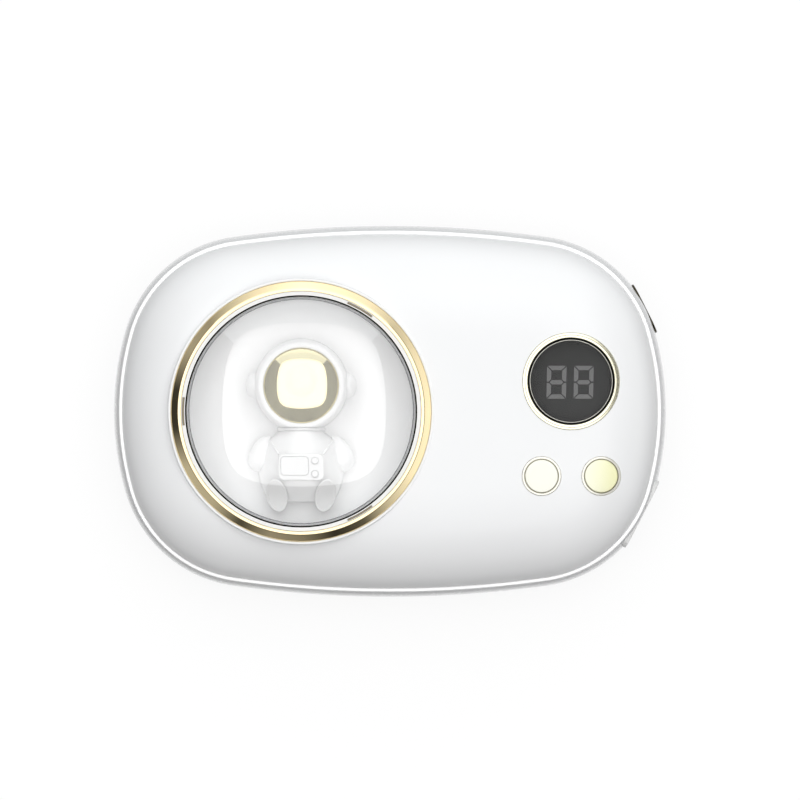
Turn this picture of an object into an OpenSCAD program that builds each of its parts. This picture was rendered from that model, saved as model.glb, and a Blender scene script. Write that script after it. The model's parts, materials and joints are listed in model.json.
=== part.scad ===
// Rechargeable hand warmer with a porthole night light, lying on its back.
// X runs along the body's length, Y across it, and Z out of its front.

/* [Body outline] */
// Length of the body, end to end
body_length = 110.4; // [106:0.1:124]
// Width of the body, side to side
body_width = 74.2; // [72:0.1:84]
// Radius of the arc at each end
end_radius = 58.7; // [50:0.1:72]
// Radius of the arc along each side
side_radius = 224.8; // [180:0.1:280]
// Radius of the arc at each corner
corner_radius = 26.2; // [25:0.1:30]
// Thickness of the moulded walls
wall = 1.8; // [1.5:0.1:2.2]

/* [Back shell] */
// Height of the back shell's top edge
back_height = 15.5; // [15:0.1:19]
// Height of the line where the back shell is widest
bulge_height = 10.5; // [9:0.1:12]
// How far the back shell's top edge is drawn in
shoulder_inset = 1; // [0.8:0.05:1.2]
// How far in from the outline the flat of the back starts
foot_round = 15; // [12:0.1:18]

/* [Middle frame] */
// Height of the white band that shows between the shells
band_height = 0.8; // [0.6:0.05:1.1]
// Thickness of the frame's plate
plate_height = 1.2; // [1:0.1:1.5]
// Width of the frame's seat under each shell's edge
seat_width = 4; // [3.5:0.1:4.6]
// Height of the tongue that locates the front shell
tongue_height = 1.5; // [1:0.1:2]

/* [Front shell] */
// How far the front shell's edge is set in from the outline
front_inset = 1.65; // [1.4:0.05:2]
// Height that the front shell rises over its rounded edge
front_rise = 12.2; // [11:0.1:14]
// Width of the front shell's rounded edge
front_round = 20; // [17:0.1:21]
// Extra height of the front shell at its middle
crown = 0.5; // [0.3:0.05:0.8]

/* [Porthole] */
// Distance from the body's left end to the porthole's centre
port_from_end = 37.5; // [36:0.1:42]
// Radius of the clear dome
dome_radius = 22.9; // [20:0.1:24]
// Height of the dome's curved top
dome_rise = 5.6; // [4.5:0.1:7]
// Thickness of the dome
dome_wall = 1.5; // [1.2:0.1:1.8]
// Width of the white ring around the dome
retainer_width = 1; // [0.8:0.05:1.2]
// Width of the gold ring
ring_width = 2; // [1.6:0.05:2.4]
// Height of the gold ring over its seat
ring_height = 1.5; // [1.2:0.05:1.9]
// Width of the gold ring's sloped outer edge
ring_slope = 1.3; // [1:0.05:1.5]
// Width of the shell's lip around the gold ring
lip_width = 0.5; // [0.4:0.05:0.8]
// Length of each of the three clips beside the dome, along the ring
clip_length = 5.8; // [4:0.1:7]

/* [Display] */
// Distance from the body's right end to the display's centre
display_from_end = 19.1; // [18.5:0.1:22]
// Height of the display's centre over the body's long axis
display_up = 6; // [5:0.1:9]
// Outer radius of the display's gold ring
display_radius = 9.65; // [8.5:0.05:10]
// Width of the display's gold ring
display_ring = 1; // [0.8:0.05:1.2]
// Width of the black ring inside it
display_surround_width = 0.5; // [0.4:0.05:0.6]
// Width of one digit
digit_width = 3.9; // [3.2:0.05:4.4]
// Height of one digit
digit_height = 6.56; // [5:0.02:7.4]
// Space between the two digits
digit_space = 1.5; // [1:0.05:2]
// Width of a digit's strokes
stroke = 0.87; // [0.6:0.01:1]

/* [Buttons] */
// Distance from the body's right end to the middle of the button pair
buttons_from_end = 19.05; // [18.5:0.05:22]
// Distance between the two buttons' centres
button_spacing = 11.9; // [11.2:0.1:13]
// Distance of the buttons below the body's long axis
button_drop = 12.9; // [12.4:0.1:14]
// Radius of a button's cap
cap_radius = 3.25; // [2.8:0.05:3.5]
// Width of the gold ring around a button
button_ring = 0.54; // [0.45:0.01:0.7]
// How far a button can be pressed
button_travel = 0.4; // [0.3:0.05:0.5]

/* [Sockets] */
// Direction that the USB-C socket faces, up from the body's long axis
usb_c_angle = 26.6; // [22:0.1:32]
// Direction that the USB-A socket faces, down from the body's long axis
usb_a_angle = 27.3; // [24:0.1:32]
// How far a socket's trim stands out of the wall at its ends
trim_proud = 0.45; // [0.3:0.05:0.6]
// Width of a trim's frame around its socket
trim_frame = 0.9; // [0.7:0.05:1.1]
// Depth of a trim into the wall
trim_depth = 2.3; // [2:0.1:2.7]

/* [Battery and heater] */
// Length of the battery
battery_length = 54; // [46:0.5:58]
// Width of the battery
battery_width = 44; // [38:0.5:46]
// Distance from the body's left end to the battery
battery_from_end = 16.2; // [15:0.1:20]
// Thickness of the foam under the battery
foam_height = 1; // [0.8:0.1:1.3]
// Thickness of the heat spreader
spreader_height = 0.8; // [0.6:0.1:1]
// Thickness of the heating film
film_height = 0.3; // [0.2:0.05:0.4]
// Space between the battery's edges and those of the spreader
spreader_margin = 4.5; // [4:0.1:6]

/* [Boards] */
// Thickness of the main board
board_height = 1.6; // [1.2:0.1:1.8]
// Height of the main board's underside over the inside of the back
board_lift = 4.6; // [4.2:0.1:5]
// Width of the main board across the body
board_width = 44; // [40:0.5:46]
// Thickness of the board behind the front
control_height = 1.2; // [1:0.1:1.4]
// Space under the board behind the front
control_lift = 1.3; // [1.2:0.1:1.6]
// Thickness of the lamp board
lamp_board_height = 1; // [0.8:0.1:1.2]

/* [Figure] */
// Radius of the figure's helmet
helmet_radius = 9.44; // [8.5:0.02:10]
// Radius of the figure's visor
visor_radius = 7.5; // [6.5:0.05:8]
// How far the helmet's centre lies above the porthole's centre
helmet_up = 5.14; // [4.5:0.02:5.6]
// Half the width of the figure's body at its widest
belly_radius = 8.55; // [7.5:0.05:9]

/* [Hidden] */
$fn = 96;

// One overrun for every cut, and the clearances between pieces
over = 1;
fit_gap = 0.05;
slip_gap = 0.08;
seam_gap = 0.1;

// Steps that divide each arc of the outline and each rounded edge
end_steps = 4;
corner_steps = 6;
side_steps = 6;
round_steps = 9;
// Corners of the outline from one corner of the flat to the next, so that it rests on few firm points
foot_step = 4;
// Exponent of the rounded edges: 2 would be an ellipse
round_power = 2.2;
// Deepest inset at which the corner arcs are still arcs
deepest_arc = 23;

// The outline: end, corner and side arcs, each tangent to the next
half_length = body_length / 2;
half_width = body_width / 2;
end_centre = [half_length - end_radius, 0];
side_centre = [0, half_width - side_radius];
end_reach = end_radius - corner_radius;
side_reach = side_radius - corner_radius;
centre_line = side_centre - end_centre;
centre_gap = norm(centre_line);
along = (end_reach ^ 2 - side_reach ^ 2 + centre_gap ^ 2) / (2 * centre_gap);
across = sqrt(end_reach ^ 2 - along ^ 2);
line_way = centre_line / centre_gap;
corner_centre = end_centre + along * line_way + across * [-line_way.y, line_way.x];
end_turn = atan2(corner_centre.y - end_centre.y, corner_centre.x - end_centre.x);
side_turn = atan2(corner_centre.y - side_centre.y, corner_centre.x - side_centre.x);

// Directions, in degrees, that the outline faces at its points
quarter_turns = concat(
    [for (i = [0 : end_steps - 1]) end_turn * i / end_steps],
    [for (i = [0 : corner_steps - 1]) end_turn + (side_turn - end_turn) * i / corner_steps],
    [for (i = [0 : side_steps]) side_turn + (90 - side_turn) * i / side_steps]
);
last = len(quarter_turns) - 1;
turns = concat(
    [for (i = [0 : last - 1]) quarter_turns[i]],
    [for (i = [last : -1 : 1]) 180 - quarter_turns[i]],
    [for (i = [0 : last - 1]) 180 + quarter_turns[i]],
    [for (i = [last : -1 : 1]) 360 - quarter_turns[i]]
);
points_round = len(turns);

// The arc's centre and radius for a direction within the first quarter
function arc_centre(turn) =
    turn <= end_turn ? end_centre : turn >= side_turn ? side_centre : corner_centre;
function arc_radius(turn) =
    turn <= end_turn ? end_radius : turn >= side_turn ? side_radius : corner_radius;
// A point of the outline, moved in by inset
function rim(turn, inset) =
    let (folded = atan2(abs(sin(turn)), abs(cos(turn))))
    let (reach = arc_radius(folded) - inset)
    [
        sign(cos(turn)) * (arc_centre(folded).x + reach * cos(folded)),
        sign(sin(turn)) * (arc_centre(folded).y + reach * sin(folded))
    ];
// The same, drawn towards the middle once the corner arcs have no radius left
function rim_in(turn, inset) =
    inset <= deepest_arc
        ? rim(turn, inset)
        : rim(turn, deepest_arc) * (half_width - inset) / (half_width - deepest_arc);
function outline(inset) = [for (turn = turns) rim_in(turn, inset)];

// Shares of a rounded edge's width and height at a step of its quarter turn
function edge_share(step) = 1 - cos(90 * step / round_steps) ^ (2 / round_power);
function rise_share(step) = sin(90 * step / round_steps) ^ (2 / round_power);
function crown_at(inset) =
    crown * (1 - (1 - (inset - front_inset) / (half_width - front_inset)) ^ 2);
// Height of the front at an inset from the outline
function front_at(inset) =
    let (left_share = 1 - min(inset - front_inset, front_round) / front_round)
    front_z + front_rise * (1 - left_share ^ round_power) ^ (1 / round_power) + crown_at(inset);

// Levels of the two shells and the frame
plate_z = back_height - plate_height;
front_z = back_height + band_height;
front_top = front_z + front_rise + crown;

// Rings of the front's surface, as inset and height, from its edge to near its middle
inner_ring_shares = [0.35, 0.7];
function front_rings(in, down) = concat(
    [for (i = [0 : round_steps])
        let (inset = front_inset + in + (front_round - in) * edge_share(i))
        [inset, front_z + (front_rise - down) * rise_share(i) + crown_at(inset)]],
    [for (share = inner_ring_shares)
        let (inset = front_inset + front_round + (half_width - front_inset - front_round) * share)
        [inset, front_z + front_rise - down + crown_at(inset)]]
);
// Rings of the back's surface, from its top edge to the edge of its flat
shoulder_steps = 3;
function back_rings(in) = concat(
    [for (i = [0 : shoulder_steps - 1])
        let (share = 1 - i / shoulder_steps)
        [in + shoulder_inset * share ^ 2, bulge_height + (back_height - bulge_height) * share]],
    [for (i = [0 : round_steps - 1])
        [in + (foot_round - in) * edge_share(i),
         in + (bulge_height - in) * (1 - rise_share(i))]],
    [[foot_round, in, foot_step]]
);

// Porthole: places and levels
port_x = port_from_end - half_length;
retainer_radius = dome_radius + retainer_width;
port_radius = retainer_radius + fit_gap + ring_width;
lip_radius = port_radius + fit_gap + lip_width;
lip_rise = 0.1;
lip_z = front_top + lip_rise;
ring_seat = 0.5;
ring_z = lip_z - ring_seat;
ring_top = ring_z + ring_height;
ring_skirt = 0.55;
skirt_radius = retainer_radius + fit_gap + ring_skirt;
collar_height = 3.8;
collar_z = ring_z - collar_height;
gasket_height = 0.4;
dome_flange = 0.9;
retainer_height = 1.5;
retainer_z = ring_top - retainer_height - fit_gap;
dome_flange_z = retainer_z - dome_flange;
gasket_z = dome_flange_z - gasket_height;
dome_shoulder = 0.9;
dome_base = retainer_z + dome_shoulder;
dome_sphere = (dome_radius ^ 2 + dome_rise ^ 2) / (2 * dome_rise);
dome_top = dome_base + dome_rise;
dish_wall = 1.3;
dish_floor_height = 1.4;
dish_flange_height = 1.5;
led_height = 0.6;
lamp_z = back_height;
led_z = lamp_z + lamp_board_height;
dish_z = led_z + led_height + seam_gap;
dish_floor = dish_z + dish_floor_height;
dish_radius = retainer_radius;
dish_inner = dish_radius - dish_wall;
clip_turns = [60, 180, 300];
clip_width = 0.45;

// Display: places and levels
display_x = half_length - display_from_end;
surround_radius = display_radius - display_ring;
window_radius = surround_radius - display_surround_width;
display_edge = front_at(display_from_end - display_radius);
window_least = 1.4;
window_z = display_edge - window_least;
ring_proud = 0.15;
window_sunk = 0.1;
display_skirt = 3.3;
display_skirt_z = display_edge - display_skirt;
segment_height = 0.3;
segment_gap = 0.12;

// Buttons: places and levels
buttons_x = half_length - buttons_from_end;
heat_x = buttons_x - button_spacing / 2;
light_x = buttons_x + button_spacing / 2;
bezel_bore = cap_radius + slip_gap;
bezel_radius = bezel_bore + button_ring;
button_boss_wall = 1.3;
button_boss = bezel_radius + fit_gap + button_boss_wall;
cap_proud = 0.25;
cap_flange = 0.8;
cap_flange_width = 1.3;
switch_size = 4.6;
switch_height = 2.4;
plunger_radius = 1.2;
plunger_proud = 0.8;
plunger_sunk = 1;
control_z = front_z + control_lift;
control_top = control_z + control_height;
switch_top = control_top + switch_height;
cap_z = switch_top + plunger_proud;
boss_z = cap_z + cap_flange;

// Sockets: sizes of the parts that plugs go into
usb_c_width = 8.94;
usb_c_height = 3.26;
usb_c_depth = 7.35;
usb_c_tongue_size = [4.4, 6.7, 0.7];
usb_a_width = 13.1;
usb_a_height = 5.7;
usb_a_depth = 14;
usb_a_tongue_size = [8.2, 11.1, 1.9];
usb_a_tongue_lift = 1.1;
socket_sheet = 0.3;
socket_sunk = 0.5;
usb_c_corner = usb_c_height / 2 - socket_sheet / 2;
usb_a_corner = 0.6;
board_z = wall + board_lift;
board_top = board_z + board_height;

// Boards, battery, heater and the screws
board_inset = 3.4;
board_clear = 4.5;
battery_x = battery_from_end - half_length;
battery_corner = 3;
spreader_z = wall;
film_z = spreader_z + spreader_height;
foam_z = film_z + film_height;
battery_z = foam_z + foam_height;
top_foam_height = 0.9;
battery_height = plate_z - top_foam_height - battery_z;
board_x = battery_x + battery_length + board_clear;
spreader_size = [battery_length - 2 * spreader_margin, battery_width - 2 * spreader_margin];
spreader_x = battery_x + spreader_margin;
control_inset = 6.2;
control_from_port = 12;
control_x = port_x + port_radius + control_from_port;
screw_radius = 0.8;
screw_head = 1.5;
screw_head_height = 1;
screw_length = 4.5;
boss_radius = 2.2;
frame_boss_inset = 9.1;
frame_boss_angle = 82.5;
post_sink = 0.2;
post_foot_z = wall - post_sink;
lead_radius = 0.6;
ribbon_size = [0.3, 10];
ribbon_inset = 4.4;
ribbon_x = max(board_x, control_x) + ribbon_inset;
part_gap = 0.6;
part_corner = 0.4;
foam_margin = 6;

// Figure: levels of its relief within the dish
relief = dome_flange_z - dish_floor;
helmet_lift_share = 0.4;
helmet_z = dish_floor + relief * helmet_lift_share;
neck_drop = 8.24;
neck_y = helmet_up - neck_drop;
neck_height = 0.85;
neck_half = 4.9;
visor_seat = 3.3;
visor_rim = sqrt(helmet_radius ^ 2 - (visor_radius + fit_gap) ^ 2);
visor_rise = 2;
visor_sphere = (visor_radius ^ 2 + visor_rise ^ 2) / (2 * visor_rise);
visor_edge = 1.4;
visor_z = helmet_z + visor_rim - visor_seat + fit_gap;
pack_size = [9.2, 5.3, 2.2];
pack_corner = 1.2;
pack_drop = 7.2;
pack_proud = 0.7;
pack_y = neck_y - neck_height - pack_drop;
pack_z = dish_floor + belly_radius - pack_size.z + pack_proud;

// A solid between rings of the body's outline, closed by a point over and under its middle
// A ring may name a step: then only every so many of its corners stay, and it runs straight between
function straightened(points, step) = [
    for (i = [0 : len(points) - 1])
        let (start = i - i % step)
        let (share = (i % step) / step)
        points[start] * (1 - share) + points[(start + step) % len(points)] * share
];
function ring_outline(ring) =
    len(ring) > 2 ? straightened(outline(ring[0]), ring[2]) : outline(ring[0]);
function ring_points(rings) = [for (r = rings) for (p = ring_outline(r)) concat(p, r[1])];
function quad(a, b, c, d) = [[a, b, c], [a, c, d]];
function skin(count, start) = [
    for (k = [0 : count - 2])
        for (i = [0 : points_round - 1])
            let (j = (i + 1) % points_round)
            let (low = start + k * points_round)
            let (high = low + points_round)
            each quad(high + i, high + j, low + j, low + i)
];
function flip(faces) = [for (face = faces) [face[2], face[1], face[0]]];
function fan(start, tip) =
    [for (i = [0 : points_round - 1]) [start + i, tip, start + (i + 1) % points_round]];

// The walled half of the body that rises from its first ring: outer skin, inner skin and edge
module walled(outer, outer_tip, inner, inner_tip) {
    count = len(outer);
    inner_start = count * points_round;
    outer_end = inner_start + len(inner) * points_round;
    points = concat(ring_points(outer), ring_points(inner), [[0, 0, outer_tip]], [[0, 0, inner_tip]]);
    edge = [
        for (i = [0 : points_round - 1])
            let (j = (i + 1) % points_round)
            each quad(i, j, inner_start + j, inner_start + i)
    ];
    faces = concat(
        skin(count, 0),
        fan((count - 1) * points_round, outer_end),
        flip(skin(len(inner), inner_start)),
        flip(fan(inner_start + (len(inner) - 1) * points_round, outer_end + 1)),
        edge
    );
    rising = outer_tip > outer[0][1];
    polyhedron(points, rising ? faces : flip(faces), convexity = 4);
}

// Everything under the front's surface, which is raised by lift
module under_front(lift) {
    rings = [for (r = front_rings(0, 0)) [r[0], r[1] + lift]];
    count = len(rings);
    points = concat(ring_points(rings), [[0, 0, front_top + lift]], [[0, 0, front_z]]);
    tip = count * points_round;
    polyhedron(
        points,
        concat(skin(count, 0), fan((count - 1) * points_round, tip), flip(fan(0, tip + 1))),
        convexity = 2
    );
}

module tube(outer, inner, height) {
    rotate_extrude() translate([inner, 0]) square([outer - inner, height]);
}

// A block with rounded corners, centred in X and Y
module rounded_block(size, corner) {
    linear_extrude(size.z) rounded_plate([size.x, size.y], corner);
}
module rounded_plate(size, corner) {
    square([size.x - 2 * corner, size.y], center = true);
    square([size.x, size.y - 2 * corner], center = true);
    for (x = [-1, 1], y = [-1, 1]) {
        translate([x * (size.x / 2 - corner), y * (size.y / 2 - corner)]) circle(corner, $fn = 24);
    }
}

module at_port(z) {
    translate([port_x, 0, z]) children();
}
module at_display(z) {
    translate([display_x, display_up, z]) children();
}
module at_button(x, z) {
    translate([x, -button_drop, z]) children();
}

// Places of the screws
frame_screw_at = [for (x = [-1, 1], y = [-1, 1])
    let (at = rim(frame_boss_angle, frame_boss_inset))
    [x * at.x, y * at.y]];
post_gap = 1;
control_screw_at = [
    [display_x - display_radius - boss_radius - post_gap, display_up + display_radius + post_gap],
    [heat_x - button_boss - boss_radius, -button_drop - button_boss],
    [light_x + boss_radius, (display_up - display_radius - button_drop + button_boss) / 2]
];
board_screw_margin = 3.4;
board_screw_at = [
    [board_x + board_screw_margin, board_width / 2 - board_screw_margin - boss_radius],
    [board_x + board_screw_margin, -board_width / 2 + board_screw_margin + boss_radius],
    [half_length - board_inset - board_screw_margin - boss_radius * 2, 0]
];

// Front: a domed cover with a collar for the porthole
module collar() {
    at_port(0) rotate_extrude() polygon([
        [skirt_radius + fit_gap, collar_z],
        [lip_radius, collar_z],
        [lip_radius, lip_z],
        [port_radius + fit_gap, lip_z],
        [port_radius + fit_gap, ring_z],
        [skirt_radius + fit_gap, ring_z]
    ]);
}
module front_shell() {
    color("white") difference() {
        union() {
            difference() {
                walled(front_rings(0, 0), front_top, front_rings(wall, wall), front_top - wall);
                at_port(front_z) cylinder(h = front_rise + 2 * over, r = lip_radius - lip_width / 2);
            }
            collar();
            intersection() {
                union() {
                    for (x = [heat_x, light_x]) {
                        at_button(x, boss_z) cylinder(h = front_rise, r = button_boss);
                    }
                    for (p = control_screw_at) {
                        translate([p.x, p.y, control_top]) cylinder(h = front_rise, r = boss_radius);
                    }
                }
                under_front(-wall / 2);
            }
        }
        at_display(front_z) cylinder(h = front_rise + 2 * over, r = display_radius + fit_gap);
        for (x = [heat_x, light_x]) {
            at_button(x, front_z) cylinder(h = front_rise + 2 * over, r = bezel_radius + fit_gap);
        }
        for (p = control_screw_at) {
            translate([p.x, p.y, control_top - over])
                cylinder(h = screw_length + over, r = screw_radius + fit_gap, $fn = 32);
        }
    }
}

// Back: a dish with a flat to rest on, screw posts and two socket windows
module at_socket(turn, z) {
    at = rim(turn, 0);
    translate([at.x, at.y, z]) rotate([0, 0, turn]) children();
}
// The trim's face lies this far out, so that its ends stand trim_proud out of the wall
function trim_face(width) =
    trim_proud - corner_radius + sqrt(corner_radius ^ 2 - (width / 2 + trim_frame) ^ 2);
module grown_block(width, height, corner, depth, growth) {
    rotate([90, 0, 90])
        rounded_block([width + 2 * growth, height + 2 * growth, depth], corner + growth);
}
module socket_window(width, height, corner) {
    reach = 3;
    face = trim_face(width);
    translate([face - trim_depth - reach, 0, 0])
        grown_block(width, height, corner, trim_depth + 2 * reach, trim_frame + fit_gap);
}
usb_c_z = board_top + usb_c_height / 2;
usb_a_z = board_top + usb_a_height / 2;
module back_shell() {
    color("white") difference() {
        union() {
            walled(back_rings(0), 0, back_rings(wall), wall);
            for (p = frame_screw_at) {
                translate([p.x, p.y, post_foot_z])
                    cylinder(h = plate_z - post_foot_z, r = boss_radius, $fn = 48);
            }
            for (p = board_screw_at) {
                translate([p.x, p.y, post_foot_z])
                    cylinder(h = board_z - post_foot_z, r = boss_radius, $fn = 48);
            }
        }
        for (p = frame_screw_at) {
            translate([p.x, p.y, plate_z - screw_length])
                cylinder(h = screw_length + over, r = screw_radius + fit_gap, $fn = 32);
        }
        for (p = board_screw_at) {
            translate([p.x, p.y, board_z - board_lift / 2])
                cylinder(h = board_lift, r = screw_radius + fit_gap, $fn = 32);
        }
        at_socket(usb_c_angle, usb_c_z) socket_window(usb_c_width, usb_c_height, usb_c_corner);
        at_socket(-usb_a_angle, usb_a_z) socket_window(usb_a_width, usb_a_height, usb_a_corner);
    }
}

// Middle frame: a band between the shells, a tongue for each, and a plate across
module frame_ring(z, height, outside, inside) {
    translate([0, 0, z]) linear_extrude(height) difference() {
        polygon(outline(outside));
        polygon(outline(inside));
    }
}
module middle_frame() {
    back_fit = shoulder_inset + wall + seam_gap;
    tongue_gap = 0.25;
    front_fit = front_inset + wall + tongue_gap;
    tongue_width = 1.2;
    slot_margin = 2;
    slot = [ribbon_size.x + 2 * slot_margin, ribbon_size.y + 2 * slot_margin];
    color("white") {
        difference() {
            union() {
                translate([0, 0, plate_z]) linear_extrude(plate_height) polygon(outline(back_fit));
                frame_ring(back_height, band_height, shoulder_inset, shoulder_inset + seat_width);
                frame_ring(back_height, band_height + tongue_height, front_fit, front_fit + tongue_width);
            }
            translate([ribbon_x + ribbon_size.x / 2, 0, plate_z + plate_height / 2])
                cube([slot.x, slot.y, plate_height + over], center = true);
            for (p = frame_screw_at) {
                translate([p.x, p.y, plate_z - over])
                    cylinder(h = plate_height + 2 * over, r = screw_radius + seam_gap, $fn = 32);
            }
        }
    }
}

// Porthole: gold ring, dome, white ring, clips, gasket and dish
module porthole_bezel() {
    skirt_drop = ring_z - collar_z;
    slope_place_share = 0.25;
    slope_drop_share = 0.3;
    inner_drop_share = 0.2;
    color("gold") at_port(0) rotate_extrude($fn = 128) polygon([
        [retainer_radius + fit_gap, ring_z - skirt_drop],
        [skirt_radius, ring_z - skirt_drop],
        [skirt_radius, ring_z],
        [port_radius, ring_z],
        [port_radius, lip_z],
        [port_radius - ring_slope * slope_place_share, ring_top - ring_height * slope_drop_share],
        [port_radius - ring_slope, ring_top],
        [retainer_radius + fit_gap, ring_top - ring_height * inner_drop_share]
    ]);
}
module dome_lens() {
    inner_sphere = dome_sphere - dome_wall;
    inner_radius = dome_radius - dome_wall;
    centre_z = dome_top - dome_sphere;
    inner_base = centre_z + sqrt(inner_sphere ^ 2 - inner_radius ^ 2);
    color("lightcyan", 0.3) at_port(0) difference() {
        union() {
            translate([0, 0, dome_flange_z]) cylinder(h = dome_flange, r = dish_radius);
            translate([0, 0, dome_flange_z]) cylinder(h = dome_base - dome_flange_z, r = dome_radius);
            intersection() {
                translate([0, 0, centre_z]) sphere(dome_sphere);
                translate([0, 0, dome_base]) cylinder(h = dome_rise + over, r = dome_radius);
            }
        }
        translate([0, 0, dome_flange_z - over])
            cylinder(h = inner_base - dome_flange_z + over, r = inner_radius);
        intersection() {
            translate([0, 0, centre_z]) sphere(inner_sphere);
            translate([0, 0, inner_base]) cylinder(h = dome_rise + over, r = inner_radius);
        }
    }
}
module clip_sector(outer, inner, height) {
    half_angle = clip_length / 2 / outer * 180 / PI;
    steps = 4;
    arc = [for (i = [0 : steps]) half_angle * (2 * i / steps - 1)];
    linear_extrude(height) polygon(concat(
        [for (a = arc) outer * [cos(a), sin(a)]],
        [for (i = [steps : -1 : 0]) inner * [cos(arc[i]), sin(arc[i])]]
    ));
}
clip_inner = dome_radius + (retainer_width - clip_width) / 2;
clip_outer = clip_inner + clip_width;
clip_height = 0.9;
clip_sunk = 0.12;
clip_z = retainer_z + retainer_height - clip_height;
module dome_retainer() {
    color("white") at_port(0) difference() {
        translate([0, 0, retainer_z])
            tube(retainer_radius, dome_radius + fit_gap, retainer_height);
        for (turn = clip_turns) {
            rotate([0, 0, turn]) translate([0, 0, clip_z])
                clip_sector(clip_outer, clip_inner, clip_height + over);
        }
    }
}
module dome_clips() {
    color("darkgoldenrod") at_port(clip_z) for (turn = clip_turns) {
        rotate([0, 0, turn]) clip_sector(clip_outer, clip_inner, clip_height - clip_sunk);
    }
}
module dome_gasket() {
    color("dimgray") at_port(gasket_z) tube(dish_radius, dome_radius - dome_wall, gasket_height);
}
module backdrop_dish() {
    color("gainsboro") at_port(0) rotate_extrude() polygon([
        [0, dish_z],
        [dish_radius, dish_z],
        [dish_radius, collar_z - dish_flange_height],
        [lip_radius - lip_width, collar_z - dish_flange_height],
        [lip_radius - lip_width, collar_z],
        [dish_radius, collar_z],
        [dish_radius, gasket_z],
        [dish_inner, gasket_z],
        [dish_inner, dish_floor],
        [0, dish_floor]
    ]);
}

// Figure: a seated space traveller in relief, with a plain visor
module at_figure(z) {
    translate([port_x, 0, z]) children();
}
module figure_helmet() {
    pod_radius = 2.6;
    pod_proud = 1.6;
    color("white") at_figure(0) difference() {
        union() {
            translate([0, helmet_up, helmet_z]) sphere(helmet_radius);
            translate([0, helmet_up, helmet_z]) rotate([0, 90, 0])
                cylinder(h = 2 * (helmet_radius + pod_proud), r = pod_radius, center = true);
        }
        translate([-body_width, helmet_up - body_width / 2, dish_floor - body_width])
            cube([2 * body_width, body_width, body_width]);
        translate([-body_width, neck_y - body_width, dish_floor - over])
            cube([2 * body_width, body_width, body_width]);
        translate([0, helmet_up, visor_z - fit_gap])
            cylinder(h = helmet_radius, r = visor_radius + fit_gap);
    }
}
module figure_visor() {
    color("khaki") at_figure(visor_z) translate([0, helmet_up, 0]) {
        cylinder(h = visor_edge, r = visor_radius);
        intersection() {
            translate([0, 0, visor_edge + visor_rise - visor_sphere]) sphere(visor_sphere);
            translate([0, 0, visor_edge / 2]) cylinder(h = visor_edge + visor_rise, r = visor_radius);
        }
    }
}
// Half widths of the torso down from the neck ring, and where they lie
torso_width_shares = [0.53, 0.62, 0.77, 0.9, 1, 1, 0.93, 0.84, 0.7];
torso_length = 14.2;
torso_place_shares = [0, 0.05, 0.12, 0.28, 0.5, 0.62, 0.78, 0.9, 1];
module torso() {
    top = neck_y - neck_height;
    translate([0, top, 0]) rotate([90, 0, 0]) rotate_extrude($fn = 64) polygon(concat(
        [[0, 0]],
        [for (i = [0 : len(torso_width_shares) - 1])
            [belly_radius * torso_width_shares[i], torso_length * torso_place_shares[i]]],
        [[0, torso_length]]
    ));
}
module capsule(length, radius) {
    cap_turns = [0 : 15 : 90];
    rotate_extrude($fn = 32) polygon(concat(
        [for (a = cap_turns) radius * [sin(a), -cos(a)]],
        [for (a = cap_turns) [radius * cos(a), length + radius * sin(a)]]
    ));
}
module arm(side) {
    arm_radius = 2.1;
    arm_lift = 1.8;
    shoulder_place_share = 0.72;
    shoulder_drop = 4.4;
    hand_out = 0.35;
    hand_drop = 7.1;
    shoulder = [belly_radius * shoulder_place_share, neck_y - shoulder_drop];
    hand = [belly_radius + hand_out, neck_y - hand_drop];
    way = hand - shoulder;
    translate([side * shoulder.x, shoulder.y, arm_lift])
        rotate([0, 90, atan2(way.y, side * way.x)])
            capsule(norm(way), arm_radius);
}
leg_radius = 2.1;
leg_length = 6.6;
leg_half = 4.86;
leg_drop = 13.65;
leg_tilt = 14;
module leg(side, height) {
    spread = leg_length / 2 - leg_radius;
    translate([side * leg_half, neck_y - leg_drop, 0]) rotate([0, 0, 90 - side * leg_tilt])
        linear_extrude(height) {
            for (tip = [-1, 1]) {
                translate([tip * spread, 0]) circle(leg_radius, $fn = 32);
            }
            square([2 * spread, 2 * leg_radius], center = true);
        }
}
module figure_body() {
    leg_reach_share = 0.86;
    color("white") at_figure(dish_floor) difference() {
        intersection() {
            union() {
                torso();
                for (side = [-1, 1]) {
                    arm(side);
                    leg(side, relief * leg_reach_share);
                }
                translate([0, neck_y, 0]) rotate([90, 0, 0])
                    cylinder(h = neck_height, r = neck_half);
            }
            translate([-body_width / 2, -body_width / 2, 0]) cube(body_width);
        }
        translate([0, pack_y, pack_z - dish_floor])
            rounded_block([pack_size.x, pack_size.y, pack_size.z], pack_corner);
    }
}
module figure_chest_pack() {
    screen_size = [5.5, 3.7];
    screen_at = [-1.36, 0.74];
    screen_sunk = 0.2;
    screen_corner = 0.6;
    knob_radius = 0.66;
    knob_x = 2.76;
    knob_proud = 0.35;
    color("whitesmoke") at_figure(pack_z) translate([0, pack_y, 0]) {
        difference() {
            rounded_block(pack_size, pack_corner);
            translate([screen_at.x, screen_at.y - fit_gap, pack_size.z - screen_sunk])
                rounded_block([screen_size.x, screen_size.y, over], screen_corner);
        }
        for (y = [-1, 1]) {
            translate([knob_x, y * knob_radius * 2, 0])
                cylinder(h = pack_size.z + knob_proud, r = knob_radius, $fn = 24);
        }
    }
}

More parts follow.
